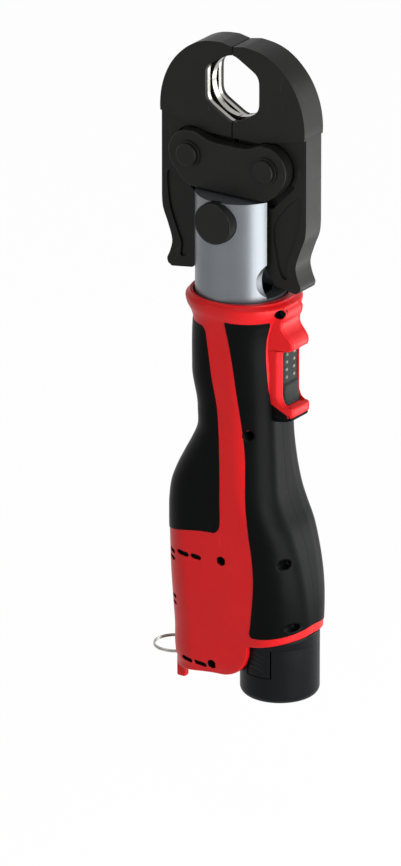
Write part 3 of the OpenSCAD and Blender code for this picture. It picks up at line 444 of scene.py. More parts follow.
FINISHES = (
    Finish("forged_black_steel", Slot.BLACK_STEEL, srgb(13, 13, 12), srgb(21, 21, 20), srgb(42, 42, 41),
           (0.34, 0.5), specular=0.13, scale=1500.0, relief=0.14),
    Finish("polished_bore_steel", Slot.BRIGHT_STEEL, srgb(138, 137, 131), srgb(176, 175, 168),
           srgb(96, 95, 92), (0.14, 0.32), metallic=1.0, scale=3000.0, relief=0.03),
    Finish("turned_satin_steel", Slot.SATIN_METAL, srgb(98, 102, 106), srgb(116, 120, 124),
           srgb(104, 107, 112), (0.33, 0.44), metallic=0.8, pattern=Pattern.BRUSHED, scale=4200.0,
           relief=0.03),
    Finish("machined_alloy", Slot.INNER_ALLOY, srgb(150, 152, 155), srgb(176, 178, 180), srgb(136, 136, 138),
           (0.3, 0.5), metallic=0.9, pattern=Pattern.BRUSHED, scale=2400.0, relief=0.05),
    Finish("motor_laminations", Slot.MOTOR_IRON, srgb(84, 84, 88), srgb(120, 118, 116), srgb(140, 120, 96),
           (0.35, 0.6), metallic=0.8, pattern=Pattern.BRUSHED, scale=1800.0, relief=0.15),
    Finish("moulded_red_plastic", Slot.RED_PLASTIC, srgb(172, 13, 17), srgb(182, 16, 20), srgb(192, 30, 33),
           (0.32, 0.46), specular=0.16, scale=2400.0, relief=0.06),
    Finish("soft_black_rubber", Slot.BLACK_RUBBER, srgb(4, 4, 4), srgb(7, 8, 8), srgb(15, 16, 16),
           (0.32, 0.44), specular=0.036, scale=3200.0, relief=0.16),
    Finish("dark_moulded_plastic", Slot.DARK_PLASTIC, srgb(8, 9, 11), srgb(13, 14, 16), srgb(26, 27, 30),
           (0.32, 0.46), specular=0.075, scale=2800.0, relief=0.1),
    Finish("cast_bronze", Slot.BRONZE, srgb(150, 108, 58), srgb(176, 132, 74), srgb(120, 84, 44),
           (0.3, 0.5), metallic=0.9, scale=1600.0, relief=0.1),
    Finish("coated_board", Slot.GREEN_BOARD, srgb(26, 96, 52), srgb(36, 118, 66), srgb(150, 128, 60),
           (0.25, 0.4), scale=900.0, relief=0.08, coat=0.3),
)
TRIGGER_FACE = Finish("trigger_plastic", Slot.DARK_PLASTIC, srgb(9, 13, 10), srgb(15, 20, 17),
                      srgb(40, 47, 43), (0.3, 0.44), specular=0.06, scale=2600.0, relief=0.12)
# The raised dots are light grey: a painted highlight where they catch the light, over the paddle's dark
# plastic.
TRIGGER_DOT_HIGHLIGHT = Finish("dot_plastic_painted_highlight", Slot.DARK_PLASTIC, srgb(70, 80, 75), srgb(100, 111, 106),
                      srgb(160, 170, 164), (0.3, 0.42), specular=0.4, scale=2600.0, relief=0.05)


@dataclass
class BodySkin:
    """Outer skin of the grip body: rounded sections whose reach, width and corner change down the tool.

    Attributes:
        stations: Rows of depth, rear, front, width and corner: shares of length, rear, front, half and width.
    """
    drop: float = 127.0
    length: float = 237.0
    rear: float = 41.5
    front: float = 52.0
    half: float = 28.3
    stations: Array = table(
        [0, 0.725, 0.644, 1.04, 0.97], [0.013, 0.775, 0.702, 1.1, 0.93], [0.03, 0.757, 0.684, 1.075, 0.92],
        [0.05, 0.682, 0.618, 1.012, 0.88], [0.078, 0.625, 0.57, 0.968, 0.8],
        [0.203, 0.631, 0.563, 0.954, 0.78], [0.308, 0.54, 0.554, 0.89, 0.75],
        [0.359, 0.543, 0.562, 0.89, 0.75], [0.4, 0.64, 0.572, 0.905, 0.74],
        [0.435, 0.747, 0.588, 0.926, 0.73], [0.48, 0.87, 0.612, 0.96, 0.7],
        [0.519, 0.947, 0.646, 0.99, 0.68], [0.56, 0.98, 0.716, 1, 0.68], [0.603, 0.993, 0.808, 1, 0.7],
        [0.66, 1, 0.89, 1, 0.74], [0.73, 1, 0.958, 1, 0.78], [0.857, 0.983, 1, 0.972, 0.87],
        [0.903, 0.975, 1, 0.95, 0.9], [0.98, 0.96, 0.985, 0.93, 0.9], [1, 0.94, 0.95, 0.89, 0.9])

    def section(self, z: Array) -> tuple[Array, Array, Array, Array, Array]:
        """Rear, front, half width, corner radius and half length round the section at each height.

        Args:
            z: Heights.

        Returns:
            The five measures, each as an array like z.
        """
        depth = (-self.drop - np.asarray(z, float)) / self.length
        rear, front, wide, corner = (smooth_curve(depth, self.stations[:, 0], self.stations[:, k])
                                     for k in (1, 2, 3, 4))
        back, nose, half = -self.rear * rear, self.front * front, self.half * wide
        r = np.minimum(half * corner, (nose - back) / 2)
        return back, nose, half, r, 2 * (half - r) + np.pi * r + (nose - back - 2 * r)

    @staticmethod
    def _marks(back: Array, nose: Array, half: Array, r: Array) -> tuple[Array, Array, Array, Array]:
        """Lengths round the near half where the rear corner, side, front corner and front straight start."""
        flat = half - r
        side = flat + np.pi / 2 * r
        corner = side + nose - back - 2 * r
        return flat, side, corner, corner + np.pi / 2 * r

    def point(self, q: Array, z: Array) -> Array:
        """Points on the near half: straight, corner, side, corner, straight, by share q of the way round.

        Args:
            q: Share of the way from the rear middle, 0, to the front middle, 1.
            z: Heights.

        Returns:
            Points with a last axis of three.
        """
        q, z = np.broadcast_arrays(np.asarray(q, float), np.asarray(z, float))
        back, nose, half, r, around = self.section(z)
        flat, s1, s2, s3 = self._marks(back, nose, half, r)
        s = q * around
        a, b = (s - flat) / r, (s - s2) / r
        pick = [s < flat, s < s1, s < s2, s < s3]
        x = np.select(pick, [back, back + r - r * np.cos(a), back + r + s - s1, nose - r + r * np.sin(b)],
                      nose)
        y = np.select(pick, [-s, -flat - r * np.sin(a), -half, -flat - r * np.cos(b)], s - s3 - flat)
        return np.stack([x, np.minimum(y, 0.0), z], -1)

    def outward(self, q: Array, z: Array) -> Array:
        """Unit normals of the skin from small steps of both parameters."""
        dq, dz = 1e-3, 0.2
        inside_q = np.clip(q, dq, 1 - dq)
        along = self.point(inside_q + dq, z) - self.point(inside_q - dq, z)
        down = self.point(inside_q, z + dz) - self.point(inside_q, z - dz)
        normal = np.cross(along, down)
        return normal / np.maximum(np.linalg.norm(normal, axis=-1, keepdims=True), 1e-9)

    def share_at_x(self, x: Array, z: Array) -> Array:
        """Share of the way round at which the near side passes a given X."""
        back, nose, half, r, around = self.section(z)
        flat, s1, s2, _ = self._marks(back, nose, half, r)
        a = np.arccos(np.clip((back + r - x) / r, 0, 1))
        b = np.arcsin(np.clip((x - nose + r) / r, 0, 1))
        s = np.where(x < back + r, flat + r * a, np.where(x < nose - r, s1 + x - back - r, s2 + r * b))
        return s / around

    def share_at_front(self, y: Array, z: Array) -> Array:
        """Share of the way round at which the front corner passes a given distance from the middle."""
        back, nose, half, r, around = self.section(z)
        flat, _, s2, s3 = self._marks(back, nose, half, r)
        b = np.arccos(np.clip((y - flat) / r, 0, 1))
        return np.where(y > flat, s2 + r * b, s3 + flat - y) / around


@dataclass
class SideRecesses:
    """Screw recesses and vent slots, as depths pressed into the skin.

    Attributes:
        screws: Rows of X, Z, seat and how much wider the shell is cut under rubber. The first is the hood's.
        blind: The same for a recess without a screw.
        slots: Rows of X, Z, length and height of the side's vents.
        rear_slots: Rows of distance from the middle, Z, length and height of the rear's vents.
        hood: Place across the line of sight, height and depth of the hood's slanted recess.
        hood_wide: How much longer that recess is across than it is tall.
        crowd: Reach within which points are drawn towards an edge.
        side_y: Y past which points are drawn towards an edge, and past which vents are cut.
    """
    screws: Array = table(
        [35.4, -133.2, -6.8, 0.0], [20.1, -209.2, -12.3, 0.3], [4.7, -290.1, -12.3, 0.0],
        [43.2, -287.0, -12.3, 0.7], [-3.1, -358.1, -12.3, 0.0])
    blind: Array = table([47.9, -326.6, -11.6, 0.7])
    screw_r: float = 2.6
    slots: Array = table(
        [-22.9, -291.0, 8.8, 2.7], [-13.4, -291.2, 7.4, 2.7], [-21.4, -359.0, 8.2, 2.6],
        [-11.5, -359.6, 8.8, 2.6], [-32.8, -292.4, 6, 2.2], [-32.8, -296.8, 6, 2.2],
        [-32.8, -321.8, 6, 2.2], [-32.8, -326.0, 6, 2.2])
    rear_slots: Array = table([11.3, -296.5, 9, 2.0], [11.3, -329.6, 9, 2.0])
    slot_lean: float = math.radians(5.0)
    slot_depth: float = 2.6
    hood: tuple[float, float, float] = (22.6, -133.4, 4.6)
    hood_wide: float = 1.18
    hood_front: float = 15.0
    edge: float = 0.3
    crowd: float = 1.1
    side_y: tuple[float, float] = (-5.0, -14.0)

    def _side_holes(self) -> Array:
        """The recesses that lie square to the side."""
        return np.concatenate([self.screws[1:], self.blind])

    def _along(self, points: Array, cx: float, cz: float, lean: float) -> tuple[Array, Array]:
        """Offsets from a middle in X and Z, turned to lie along and across a leaning slot."""
        x, z = points[..., 0] - cx, points[..., 2] - cz
        return x * math.cos(lean) - z * math.sin(lean), x * math.sin(lean) + z * math.cos(lean)

    def drawn_in(self, points: Array, screws: bool) -> Array:
        """Move a surface's points sideways so that they crowd at the recess edges, which keeps those round.

        Within a short reach of an edge, the signed distance d becomes d times |d| over the reach.

        Args:
            points: Places on the near side.
            screws: Whether this half takes the screw heads.

        Returns:
            The moved points.
        """
        points = np.array(points)
        wide = 2 * self.screw_r
        holes = [(cx, cz, wide, wide, 0.0) for cx, cz, _, _ in self._side_holes()] if screws else []
        for cx, cz, long, tall, lean in holes + [(*slot, self.slot_lean) for slot in self.slots]:
            a, b = self._along(points, cx, cz, lean)
            off = a - np.clip(a, -(long - tall) / 2, (long - tall) / 2)
            reach = np.maximum(np.hypot(off, b), 1e-6)
            away = reach - tall / 2
            near = (np.abs(away) < self.crowd) & (points[..., 1] < self.side_y[0])
            move = np.where(near, away * np.abs(away) / self.crowd - away, 0.0) / reach
            points[..., 0] += move * (off * math.cos(lean) + b * math.sin(lean))
            points[..., 2] += move * (b * math.cos(lean) - off * math.sin(lean))
        return points

    def _inside(self, away: Array) -> Array:
        """Ease from 1 inside an edge to 0 outside it, by signed distance from the edge."""
        return smooth_step(0.5 - away / self.edge)

    def _slot_at(self, a: Array, b: Array, long: float, tall: float) -> Array:
        """Depth of a round-ended slot at places along and across it."""
        away = np.hypot(np.maximum(np.abs(a) - (long - tall) / 2, 0), b) - tall / 2
        return self.slot_depth * self._inside(away)

    def hood_recess(self, points: Array) -> tuple[Array, Array]:
        """Recess of the hood's screw, pressed in along the level line of sight, as it lies on a round corner.

        Args:
            points: Places on the near side.

        Returns:
            How far each place moves in X, Y and Z, and the depth there.
        """
        sine, cosine = math.sin(math.radians(Studio.azimuth)), math.cos(math.radians(Studio.azimuth))
        across = points[..., 0] * cosine + points[..., 1] * sine
        toward = points[..., 0] * sine - points[..., 1] * cosine
        middle, height, deep = self.hood
        away = np.hypot((across - middle) / self.hood_wide, points[..., 2] - height) - self.screw_r
        depth = deep * self._inside(away) * (toward > self.hood_front)
        return depth[..., None] * np.array([-sine, cosine, 0.0]), depth

    def side_depth(self, points: Array, screws: bool, spare: float = 0.0) -> Array:
        """Depth of the recesses seen square to the side.

        Args:
            points: Places on the near side.
            screws: Whether this half takes the screw heads.
            spare: How much deeper the shell is cut, and wider under the rubber, than what lies over it.

        Returns:
            Depth at each place.
        """
        x, y, z = np.moveaxis(points, -1, 0)
        depth = np.zeros(x.shape)
        for cx, cz, long, tall in self.slots:
            slot = self._slot_at(*self._along(points, cx, cz, self.slot_lean), long, tall)
            depth = np.maximum(depth, slot * (y < self.side_y[1]))
        for cx, cz, seat, under in self._side_holes() if screws else ():
            away = np.hypot(x - cx, z - cz) - self.screw_r - under * (spare > 0)
            depth = np.maximum(depth, np.maximum(seat + spare - y, 0) * self._inside(away))
        return depth

    def rear_depth(self, y: Array, z: Array) -> Array:
        """Depth of the recesses seen square to the rear."""
        return np.max([self._slot_at(np.abs(y) - cy, z - cz, long, tall)
                       for cy, cz, long, tall in self.rear_slots], axis=0)


@dataclass
class Housing:
    """Red shell halves with collar, side strip, rear box, battery band, trigger guard, vents and foot.

    Attributes:
        band_rise: Slope and bend of the band above the battery, by distance ahead of the toe.
        rear_drop: X where the box floor starts to drop, over what length, and by how much.
        window: Heights of the upper and lower edge of the trigger's window.
        well_x: X of the back wall behind the trigger.
        notch: Depth, upper height and half width of the lanyard ring's notch.
        hood: Rows of height and front reach of the guard above the window.
        window_frame: The same beside the window, from below.
        lip: The same below the window.
        foot: Middle, half sizes and heights of the near foot tab.
        vents: X of both ends of the side's vents and their height, where the columns lie close together.
        hood_screw: The same at the hood's screw.
        rear_x: X behind which the rear's vents and the notch may lie.
        painted_shade_low: Height down to which the recesses get dark plastic inside, as painted shade.
        window_edge: Set-back of the guard's corner beside the window.
        root_x: X as far as which the guard's flank keeps its root's width.
        front_bulge: How far the guard's front bulges in the middle.
    """
    skin: BodySkin
    recesses: SideRecesses
    rim_r: float = 28.3
    rim_depth: float = 6.0
    rows_low: float = -330.0
    box_low: float = -364.0
    band_low: float = -341.7
    band_rise: tuple[float, float] = (0.12, 0.0037)
    rear_drop: tuple[float, float, float] = (4.0, 42.0, 3.6)
    toe_x: float = 2.05
    toe_r: float = 20.0
    pack_x: float = 28.0
    pack_room: float = 24.1
    edge: float = 1.2
    seam: float = 0.22
    spare: float = 0.8
    # Depth past which faces get dark plastic as painted shade.
    painted_shade_from: float = 0.5
    window_half: float = 8.3
    window_room: float = 10.5
    window: tuple[float, float] = (-157.0, -192.0)
    well_x: float = 25.0
    corner_r: float = 2.6
    notch: tuple[float, float, float] = (7.0, -357.6, 8.6)
    hood: Array = table(
        [-130, 36.4], [-133, 37.9], [-136.5, 37.3], [-140, 35.8], [-143, 35.9], [-146, 37.9],
        [-148.5, 40.4], [-150.5, 42.0], [-152.5, 42.7], [-154.5, 42.6], [-156, 41.6], [-157, 39.6])
    window_frame: Array = table(
        [-192, 40.6], [-190.4, 37.8], [-187.5, 36.1], [-184, 35.4], [-161, 35.4], [-157, 35.8])
    lip: Array = table(
        [-192, 42.4], [-192.7, 43.0], [-194, 43.2], [-196, 43.1], [-197.3, 42.8], [-198, 42.0])
    foot: tuple[tuple[float, float], ...] = ((-33.9, -11.4), (3.0, 2.4), (-364.0, -376.9))
    vents: tuple[float, float, float] = (-36.5, -6.0, -291.0)
    hood_screw: tuple[float, float, float] = (28.5, 35.2, -133.0)
    rear_x: tuple[float, float] = (-30.0, -28.0)
    painted_shade_low: float = -350.0
    seam_share: float = 0.004
    notch_edge: float = 0.8
    window_edge: float = 3.4
    root_x: float = 27.0
    front_bulge: float = 0.25

    def floor_z(self, x: Array) -> Array:
        """Height of the lower edge at X: box floor dropping rearwards, round toe, then the climbing band."""
        over = np.clip(x - self.toe_x, 0, self.toe_r)
        toe = self.box_low + self.toe_r - np.sqrt(np.maximum(self.toe_r**2 - over**2, 0))
        ahead = np.maximum(x - self.toe_x - self.toe_r, 0)
        band = self.band_low + self.band_rise[0] * ahead + self.band_rise[1] * ahead**2
        start, span, fall = self.rear_drop
        rear = fall * smooth_step((start - x) / span)
        return np.where(ahead > 0, band, np.minimum(toe, self.band_low) - rear)

    def columns(self) -> Array:
        """Shares of the way round, close together beside the seams, at the vents and at the hood's screw."""
        ends = np.array([0.0, 0.0008, 0.002, 0.0035])
        even = np.linspace(0.006, 0.994, 200)
        first, last = self.skin.share_at_x(np.array(self.vents[:2]), np.full(2, self.vents[2]))
        left, right = self.skin.share_at_x(np.array(self.hood_screw[:2]), np.full(2, self.hood_screw[2]))
        gap = 0.002
        middle = even[(even > last + gap) & (even < left - gap)]
        return np.concatenate([ends, even[even < first - gap], np.linspace(first, last, 90), middle,
                               np.linspace(left, right, 40), even[even > right + gap], 1 - ends[::-1]])

    def rows(self) -> Array:
        """Heights from the rim down to the battery band, close together at the vents and screws."""
        marks = [-127, -138, -204, -213, -283, -304, -322, self.rows_low]
        steps = [34, 80, 24, 84, 70, 30, 26]
        parts = [np.linspace(a, b, n, endpoint=False) for a, b, n in zip(marks[:-1], marks[1:], steps)]
        return np.concatenate(parts + [[self.rows_low]])

    def _skin_rows(self, q: Array) -> tuple[Array, Array]:
        """Rows of the skin from below the rim to the lower edge, which stop short at the trigger's window.

        Args:
            q: Shares of the way round.

        Returns:
            Points in rows, and their normals.
        """
        rows = self.rows()
        span = smooth_step((self.window[0] + 6 - rows) / 5) * smooth_step((rows - self.window[1] + 5) / 4)
        stop = 1 - span * (1 - self.skin.share_at_front(np.full(len(rows), self.window_room), rows))
        goal = self.floor_z(self.skin.point(q, np.full(len(q), self.band_low))[:, 0]) + self.edge
        low_z = self.rows_low + (goal - self.rows_low)[None, :] * np.linspace(0, 1, 96)[1:, None]
        share = np.concatenate([q[None, :] * stop[:, None], np.broadcast_to(q, low_z.shape)])
        z = np.concatenate([np.broadcast_to(rows[:, None], (len(rows), len(q))), low_z])
        return self.skin.point(share, z), self.skin.outward(share, z)

    def shell_grid(self, far: bool) -> tuple[Array, Array]:
        """One half of the shell as one grid.

        Rows run from inside the rim, over it, down the skin, round the lower edge, and across the floor to
        the battery's round room. The skin is the body's section by share and height, pressed in at the
        recesses and along the seam.

        Args:
            far: Whether this is the far half.

        Returns:
            Points in rows, and the depth of the recesses at each.
        """
        q = self.columns()
        points, normal = self._skin_rows(q)
        seam = self.seam * np.maximum(1 - np.minimum(q, 1 - q) / self.seam_share, 0)
        points = self.recesses.drawn_in(points - normal * seam[None, :, None], not far)
        depth = self.recesses.side_depth(points, not far, self.spare)
        x, y, z = np.moveaxis(points, -1, 0)
        deep, high, half = self.notch
        notch = deep * smooth_step((high - z) / self.notch_edge) * smooth_step((half + y) / self.notch_edge)
        vents = self.recesses.rear_depth(y, z)
        behind = np.maximum(vents * (x < self.rear_x[0]), notch * (x < self.rear_x[1]))
        points = points + np.stack([behind, depth, np.zeros_like(depth)], -1)
        if not far:
            move, hollow = self.recesses.hood_recess(points)
            points, depth = points + move, np.maximum(depth, hollow)
        rim, under = self._rim(points[0]), self._underside(points[-1], normal[-1])
        # The rear vents and the lanyard notch above painted_shade_low count as deep, so their insides get
        # painted shade.
        depth = np.maximum(depth, behind * (points[..., 2] > self.painted_shade_low))
        return (mirrored(np.concatenate([rim, points, under]), far),
                np.pad(depth, ((len(rim), len(under)), (0, 0))))

    def _rim(self, top: Array) -> Array:
        """Inner wall of the collar and its rounded rim, from a circle out to the skin's first row."""
        angle = np.arctan2(top[:, 1], top[:, 0])
        ring = np.stack([self.rim_r * np.cos(angle), self.rim_r * np.sin(angle), np.zeros_like(angle)], -1)
        flat = top * np.array([1, 1, 0])
        steps = ((0, -self.rim_depth), (0, -3.0), (0, -0.9), (0.06, -0.3), (0.22, 0.0), (0.6, 0.0),
                 (0.86, 0.0), (0.97, -0.15))
        return np.stack([ring + (flat - ring) * blend + np.array([0, 0, z - self.skin.drop + 0.1])
                         for blend, z in steps])

    def _underside(self, last: Array, normal: Array) -> Array:
        """Rounded lower edge, then in along the floor to the battery's room and up its wall."""
        a = np.radians([30, 60, 90])[:, None]
        flat_normal = normal * np.array([1, 1, 0])
        turn = last[None] - flat_normal[None] * (self.edge * (1 - np.cos(a)))[..., None]
        turn = turn - np.array([0, 0, 1.0]) * (self.edge * np.sin(a))[..., None]
        x, y = turn[-1, :, 0], turn[-1, :, 1]
        gap = x - self.pack_x
        side = -np.sqrt(np.maximum(self.pack_room**2 - np.minimum(gap, 0) ** 2, 0))
        away = np.hypot(gap, y)
        pull = np.minimum(self.pack_room, away - 0.05) / np.maximum(away, 1e-6)
        goal_x = np.where(gap > 0, self.pack_x + gap * pull, x)
        beside = np.maximum(np.where(x > self.pack_x - self.pack_room, side, -0.02), y)
        goal_y = np.where(gap > 0, y * pull, beside)
        rows = [turn]
        for share in (0.25, 0.5, 0.75, 1.0):
            px, py = x + (goal_x - x) * share, y + (goal_y - y) * share
            rows.append(np.stack([px, py, self.floor_z(px)], -1)[None])
        rows.append(np.stack([goal_x, goal_y, np.full_like(goal_x, self.rows_low)], -1)[None])
        return np.concatenate(rows)

    @staticmethod
    def guard_start(z: Array) -> Array:
        """X where the red flank starts: inside the body, then forwards along the diagonal lower edge."""
        return smooth_curve(np.asarray(z, float), [-198.4, -197.3, -195.5, -193.2, -191.4, -190, -188],
                            [43.0, 41.0, 37.4, 32.8, 29.4, 27.0, 22.0])

    @staticmethod
    def guard_base(z: Array) -> Array:
        """Half width of the guard at its root at a height."""
        return np.interp(z, [-198, -192, -187, -182], [9.8, 10.6, 11.8, 12.4])

    def guard_grid(self, far: bool) -> tuple[Array, Array]:
        """One half of the trigger guard as one grid.

        Each row is a level path from inside the body out along the flank, round the corner and over the
        front to the middle; beside the trigger it turns in at the window's edge and runs to the well's back.
        The front's reach makes a finger scoop, a ledge, the recessed window frame and the lower lip.

        Args:
            far: Whether this is the far half.

        Returns:
            Points in rows, and the depth of the recesses at each.
        """
        hood_z, frame_z = np.linspace(self.hood[0, 0], self.window[0], 60), np.linspace(*self.window, 30)
        hood_half = np.interp(hood_z, [-157, -152, -142, -136, -130], [9.4, 9.6, 11.0, 10.6, 10.4])
        frame_half = np.interp(frame_z, [-192, -186], [10.3, 11.7])
        parts = ((hood_z, smooth_curve(hood_z, *self.hood[::-1].T), hood_half, False),
                 (frame_z, smooth_curve(frame_z, *self.window_frame.T), frame_half, True),
                 (*self.lip.T, np.full(len(self.lip), 9.8), False))
        points = np.stack([self._guard_row(*row, window) for z, reach, half, window in parts
                           for row in zip(z, reach, half, self.guard_base(z))])
        depth = np.zeros(points.shape[:2])
        if not far:
            move, depth = self.recesses.hood_recess(points)
            points = points + move
        return mirrored(points, far), depth

    def _guard_row(self, z: float, reach: float, front: float, base: float, window: bool) -> Array:
        """One level path of the guard, from the flank's root to the middle plane."""
        r = self.corner_r
        shoulder = np.array([reach - (self.window_edge if window else r), -front])
        start = min(float(self.guard_start(z)), shoulder[0] - 0.3)
        flank_end = max(start, min(self.root_x, shoulder[0] - 0.2))
        root = np.array([[start - 0.02, -base], [flank_end, -base]])
        lean = np.linspace(root[1], shoulder, 9)
        if window:
            w = self.window_half
            corner = shoulder + np.array([[0, 0], [0.35, 0.08], [0.7, 0.3]])
            face = np.linspace(corner[-1], [reach, -w - 0.55], 6)[1:]
            turn = np.array([[reach - 0.05, -w - 0.2], [reach - 0.5, -w]])
            inward = np.stack([np.linspace(reach - 1.2, self.well_x, 6), np.full(6, -w)], -1)
            back = np.stack([np.full(12, self.well_x), np.linspace(-w, -0.02, 13)[1:]], -1)
            rest = np.concatenate([face, turn, inward, back])
        else:
            a = np.radians(np.linspace(-90, 0, 8))
            corner = np.stack([reach - r + r * np.cos(a), -(front - r) + r * np.sin(a)], -1)
            y = np.linspace(-(front - r), -0.02, 21)[1:]
            bulge = self.front_bulge * np.cos(y / (front - r) * np.pi / 2)
            rest = np.stack([reach + bulge - self.front_bulge, y], -1)
        path = np.concatenate([root, lean[1:], corner[1:], rest])
        return np.concatenate([path, np.full((len(path), 1), z)], 1)

    def foot_grid(self, far: bool) -> Array:
        """One tab of the rear foot: a rounded rectangle carried down to the ground, drawn in at both ends."""
        a = np.linspace(0, 2 * np.pi, 48, endpoint=False)
        px, py = (np.sign(wave) * np.abs(wave) ** 0.4 for wave in (np.cos(a), np.sin(a)))
        (mid_x, mid_y), (half_x, half_y), (top, low) = self.foot
        z = np.array([top, top, top - 0.6, low + 0.9, low + 0.25, low, low])[:, None]
        draw = np.array([9.0, 0.5, 0.0, 0.0, 0.35, 0.9, 9.0])[:, None]
        x, y = mid_x + np.maximum(half_x - draw, 0) * px, mid_y + np.maximum(half_y - draw, 0) * py
        return mirrored(np.stack(np.broadcast_arrays(x, y, z), -1), far)

    def build(self, far: bool, red: Material, dark: Material) -> Object:
        """Join shell, guard and foot of one half, with dark plastic as painted shade in the depth of its
        recesses.

        Args:
            far: Whether this is the far half.
            red: The shell's plastic.
            dark: Dark plastic painted inside the vents and screw recesses as shade.

        Returns:
            The dressed half.
        """
        side = "far" if far else "near"
        (shell, shell_depth), (guard, guard_depth) = self.shell_grid(far), self.guard_grid(far)
        foot = self.foot_grid(far)
        points, faces = joined([shell, guard, foot], [side_faces(shell, far), side_faces(guard, far),
                                                      side_faces(foot, far, True)])
        depth = np.concatenate([shell_depth.ravel(), guard_depth.ravel(), np.zeros(foot.size // 3)])
        piece = mesh_object(f"{side}_shell", points, faces, red, outward=False)
        # Faces deep in the vents, notch and screw recesses get dark plastic: painted shade, not a real
        # colour.
        two_tone(piece, dark, depth[faces].mean(1) > self.painted_shade_from)
        sharpen(piece, 50)
        return placed(piece, "body", Slot.RED_PLASTIC.value, f"{side}_housing")


@dataclass
class RubberPanel:
    """One soft grip panel: a patch of the body's skin between two border curves, rolled down at its edges.

    Attributes:
        left: Share of the way round at each height, on the rear side.
        right: Share of the way round at each height, on the front side.
        top: Height of the upper edge.
        bottom: Heights of the lower edge at the left and right borders.
        rounded: Radii of the top left, top right, bottom left and bottom right corners.
    """
    skin: BodySkin
    recesses: SideRecesses
    left: Callable[[Array], Array]
    right: Callable[[Array], Array]
    top: float
    bottom: tuple[float, float]
    rounded: tuple[float, float, float, float]
    proud: float = 0.35
    sunk: float = 0.7
    roll: float = 1.1
    seam: float = 0.06
    seam_w: float = 0.4

    @staticmethod
    def _ease(count: int) -> Array:
        """Shares from 0 to 1 that lie closer together near both ends."""
        t = np.linspace(0, 1, count)
        return 0.35 * t + 0.65 * (0.5 - 0.5 * np.cos(np.pi * t))

    def grid(self, far: bool, rows: int = 330, cols: int = 140) -> Array:
        """Points of the panel: shares and heights eased towards the borders, lifted off the skin inside them.

        Args:
            far: Whether this is the far side's panel.
            rows: Count of points down the panel.
            cols: Count of points across the panel.

        Returns:
            Points in rows.
        """
        v, u = self._ease(rows)[:, None], self._ease(cols)[None, :]
        foot = self.bottom[0] + (self.bottom[1] - self.bottom[0]) * smooth_step(u)
        z = self.top + (foot - self.top) * v
        around = self.skin.section(z)[4]
        above, below = self.top - z, z - foot
        cut = [self._corner(above, high) + self._corner(below, low)
               for high, low in zip(self.rounded[:2], self.rounded[2:])]
        q0, q1 = self.left(z) + cut[0] / around, self.right(z) - cut[1] / around
        q = q0 + (q1 - q0) * u
        never = 99.0
        to_left, to_right = (q - q0) * around + never * (q0 <= 0), (q1 - q) * around + never * (q1 >= 1)
        inside = np.minimum(np.minimum(to_left, to_right), np.minimum(above, below))
        lift = -self.sunk + (self.sunk + self.proud) * np.sqrt(smooth_step(inside / self.roll))
        lift = lift - self.seam * np.maximum(1 - np.minimum(q, 1 - q) * around / self.seam_w, 0)
        points = self.skin.point(q, z) + self.skin.outward(q, z) * lift[..., None]
        points = self.recesses.drawn_in(points, not far)
        depth = self.recesses.side_depth(points, not far)
        points[..., 1] = np.minimum(points[..., 1] + depth, -0.01)
        return mirrored(points, far)

    @staticmethod
    def _corner(distance: Array, r: float) -> Array:
        """How far a rounded corner cuts in at a distance from the edge that it meets."""
        return r - np.sqrt(np.maximum(r * r - np.maximum(r - distance, 0) ** 2, 0))

    def build(self, name: str, far: bool, rubber: Material, node: str,
              extra: tuple[Array, ...] = ()) -> Object:
        """Make the panel, with any further grids that belong to it.

        Args:
            name: Name of the piece.
            far: Whether this is the far side's panel.
            rubber: The finish.
            node: CAD node that it stands for.
            extra: Further grids joined to it.

        Returns:
            The dressed panel.
        """
        grids = [self.grid(far), *extra]
        points, faces = joined(grids, [side_faces(grid, far) for grid in grids])
        piece = mesh_object(name, points, faces, rubber, outward=False)
        return placed(piece, "body", Slot.BLACK_RUBBER.value, node)


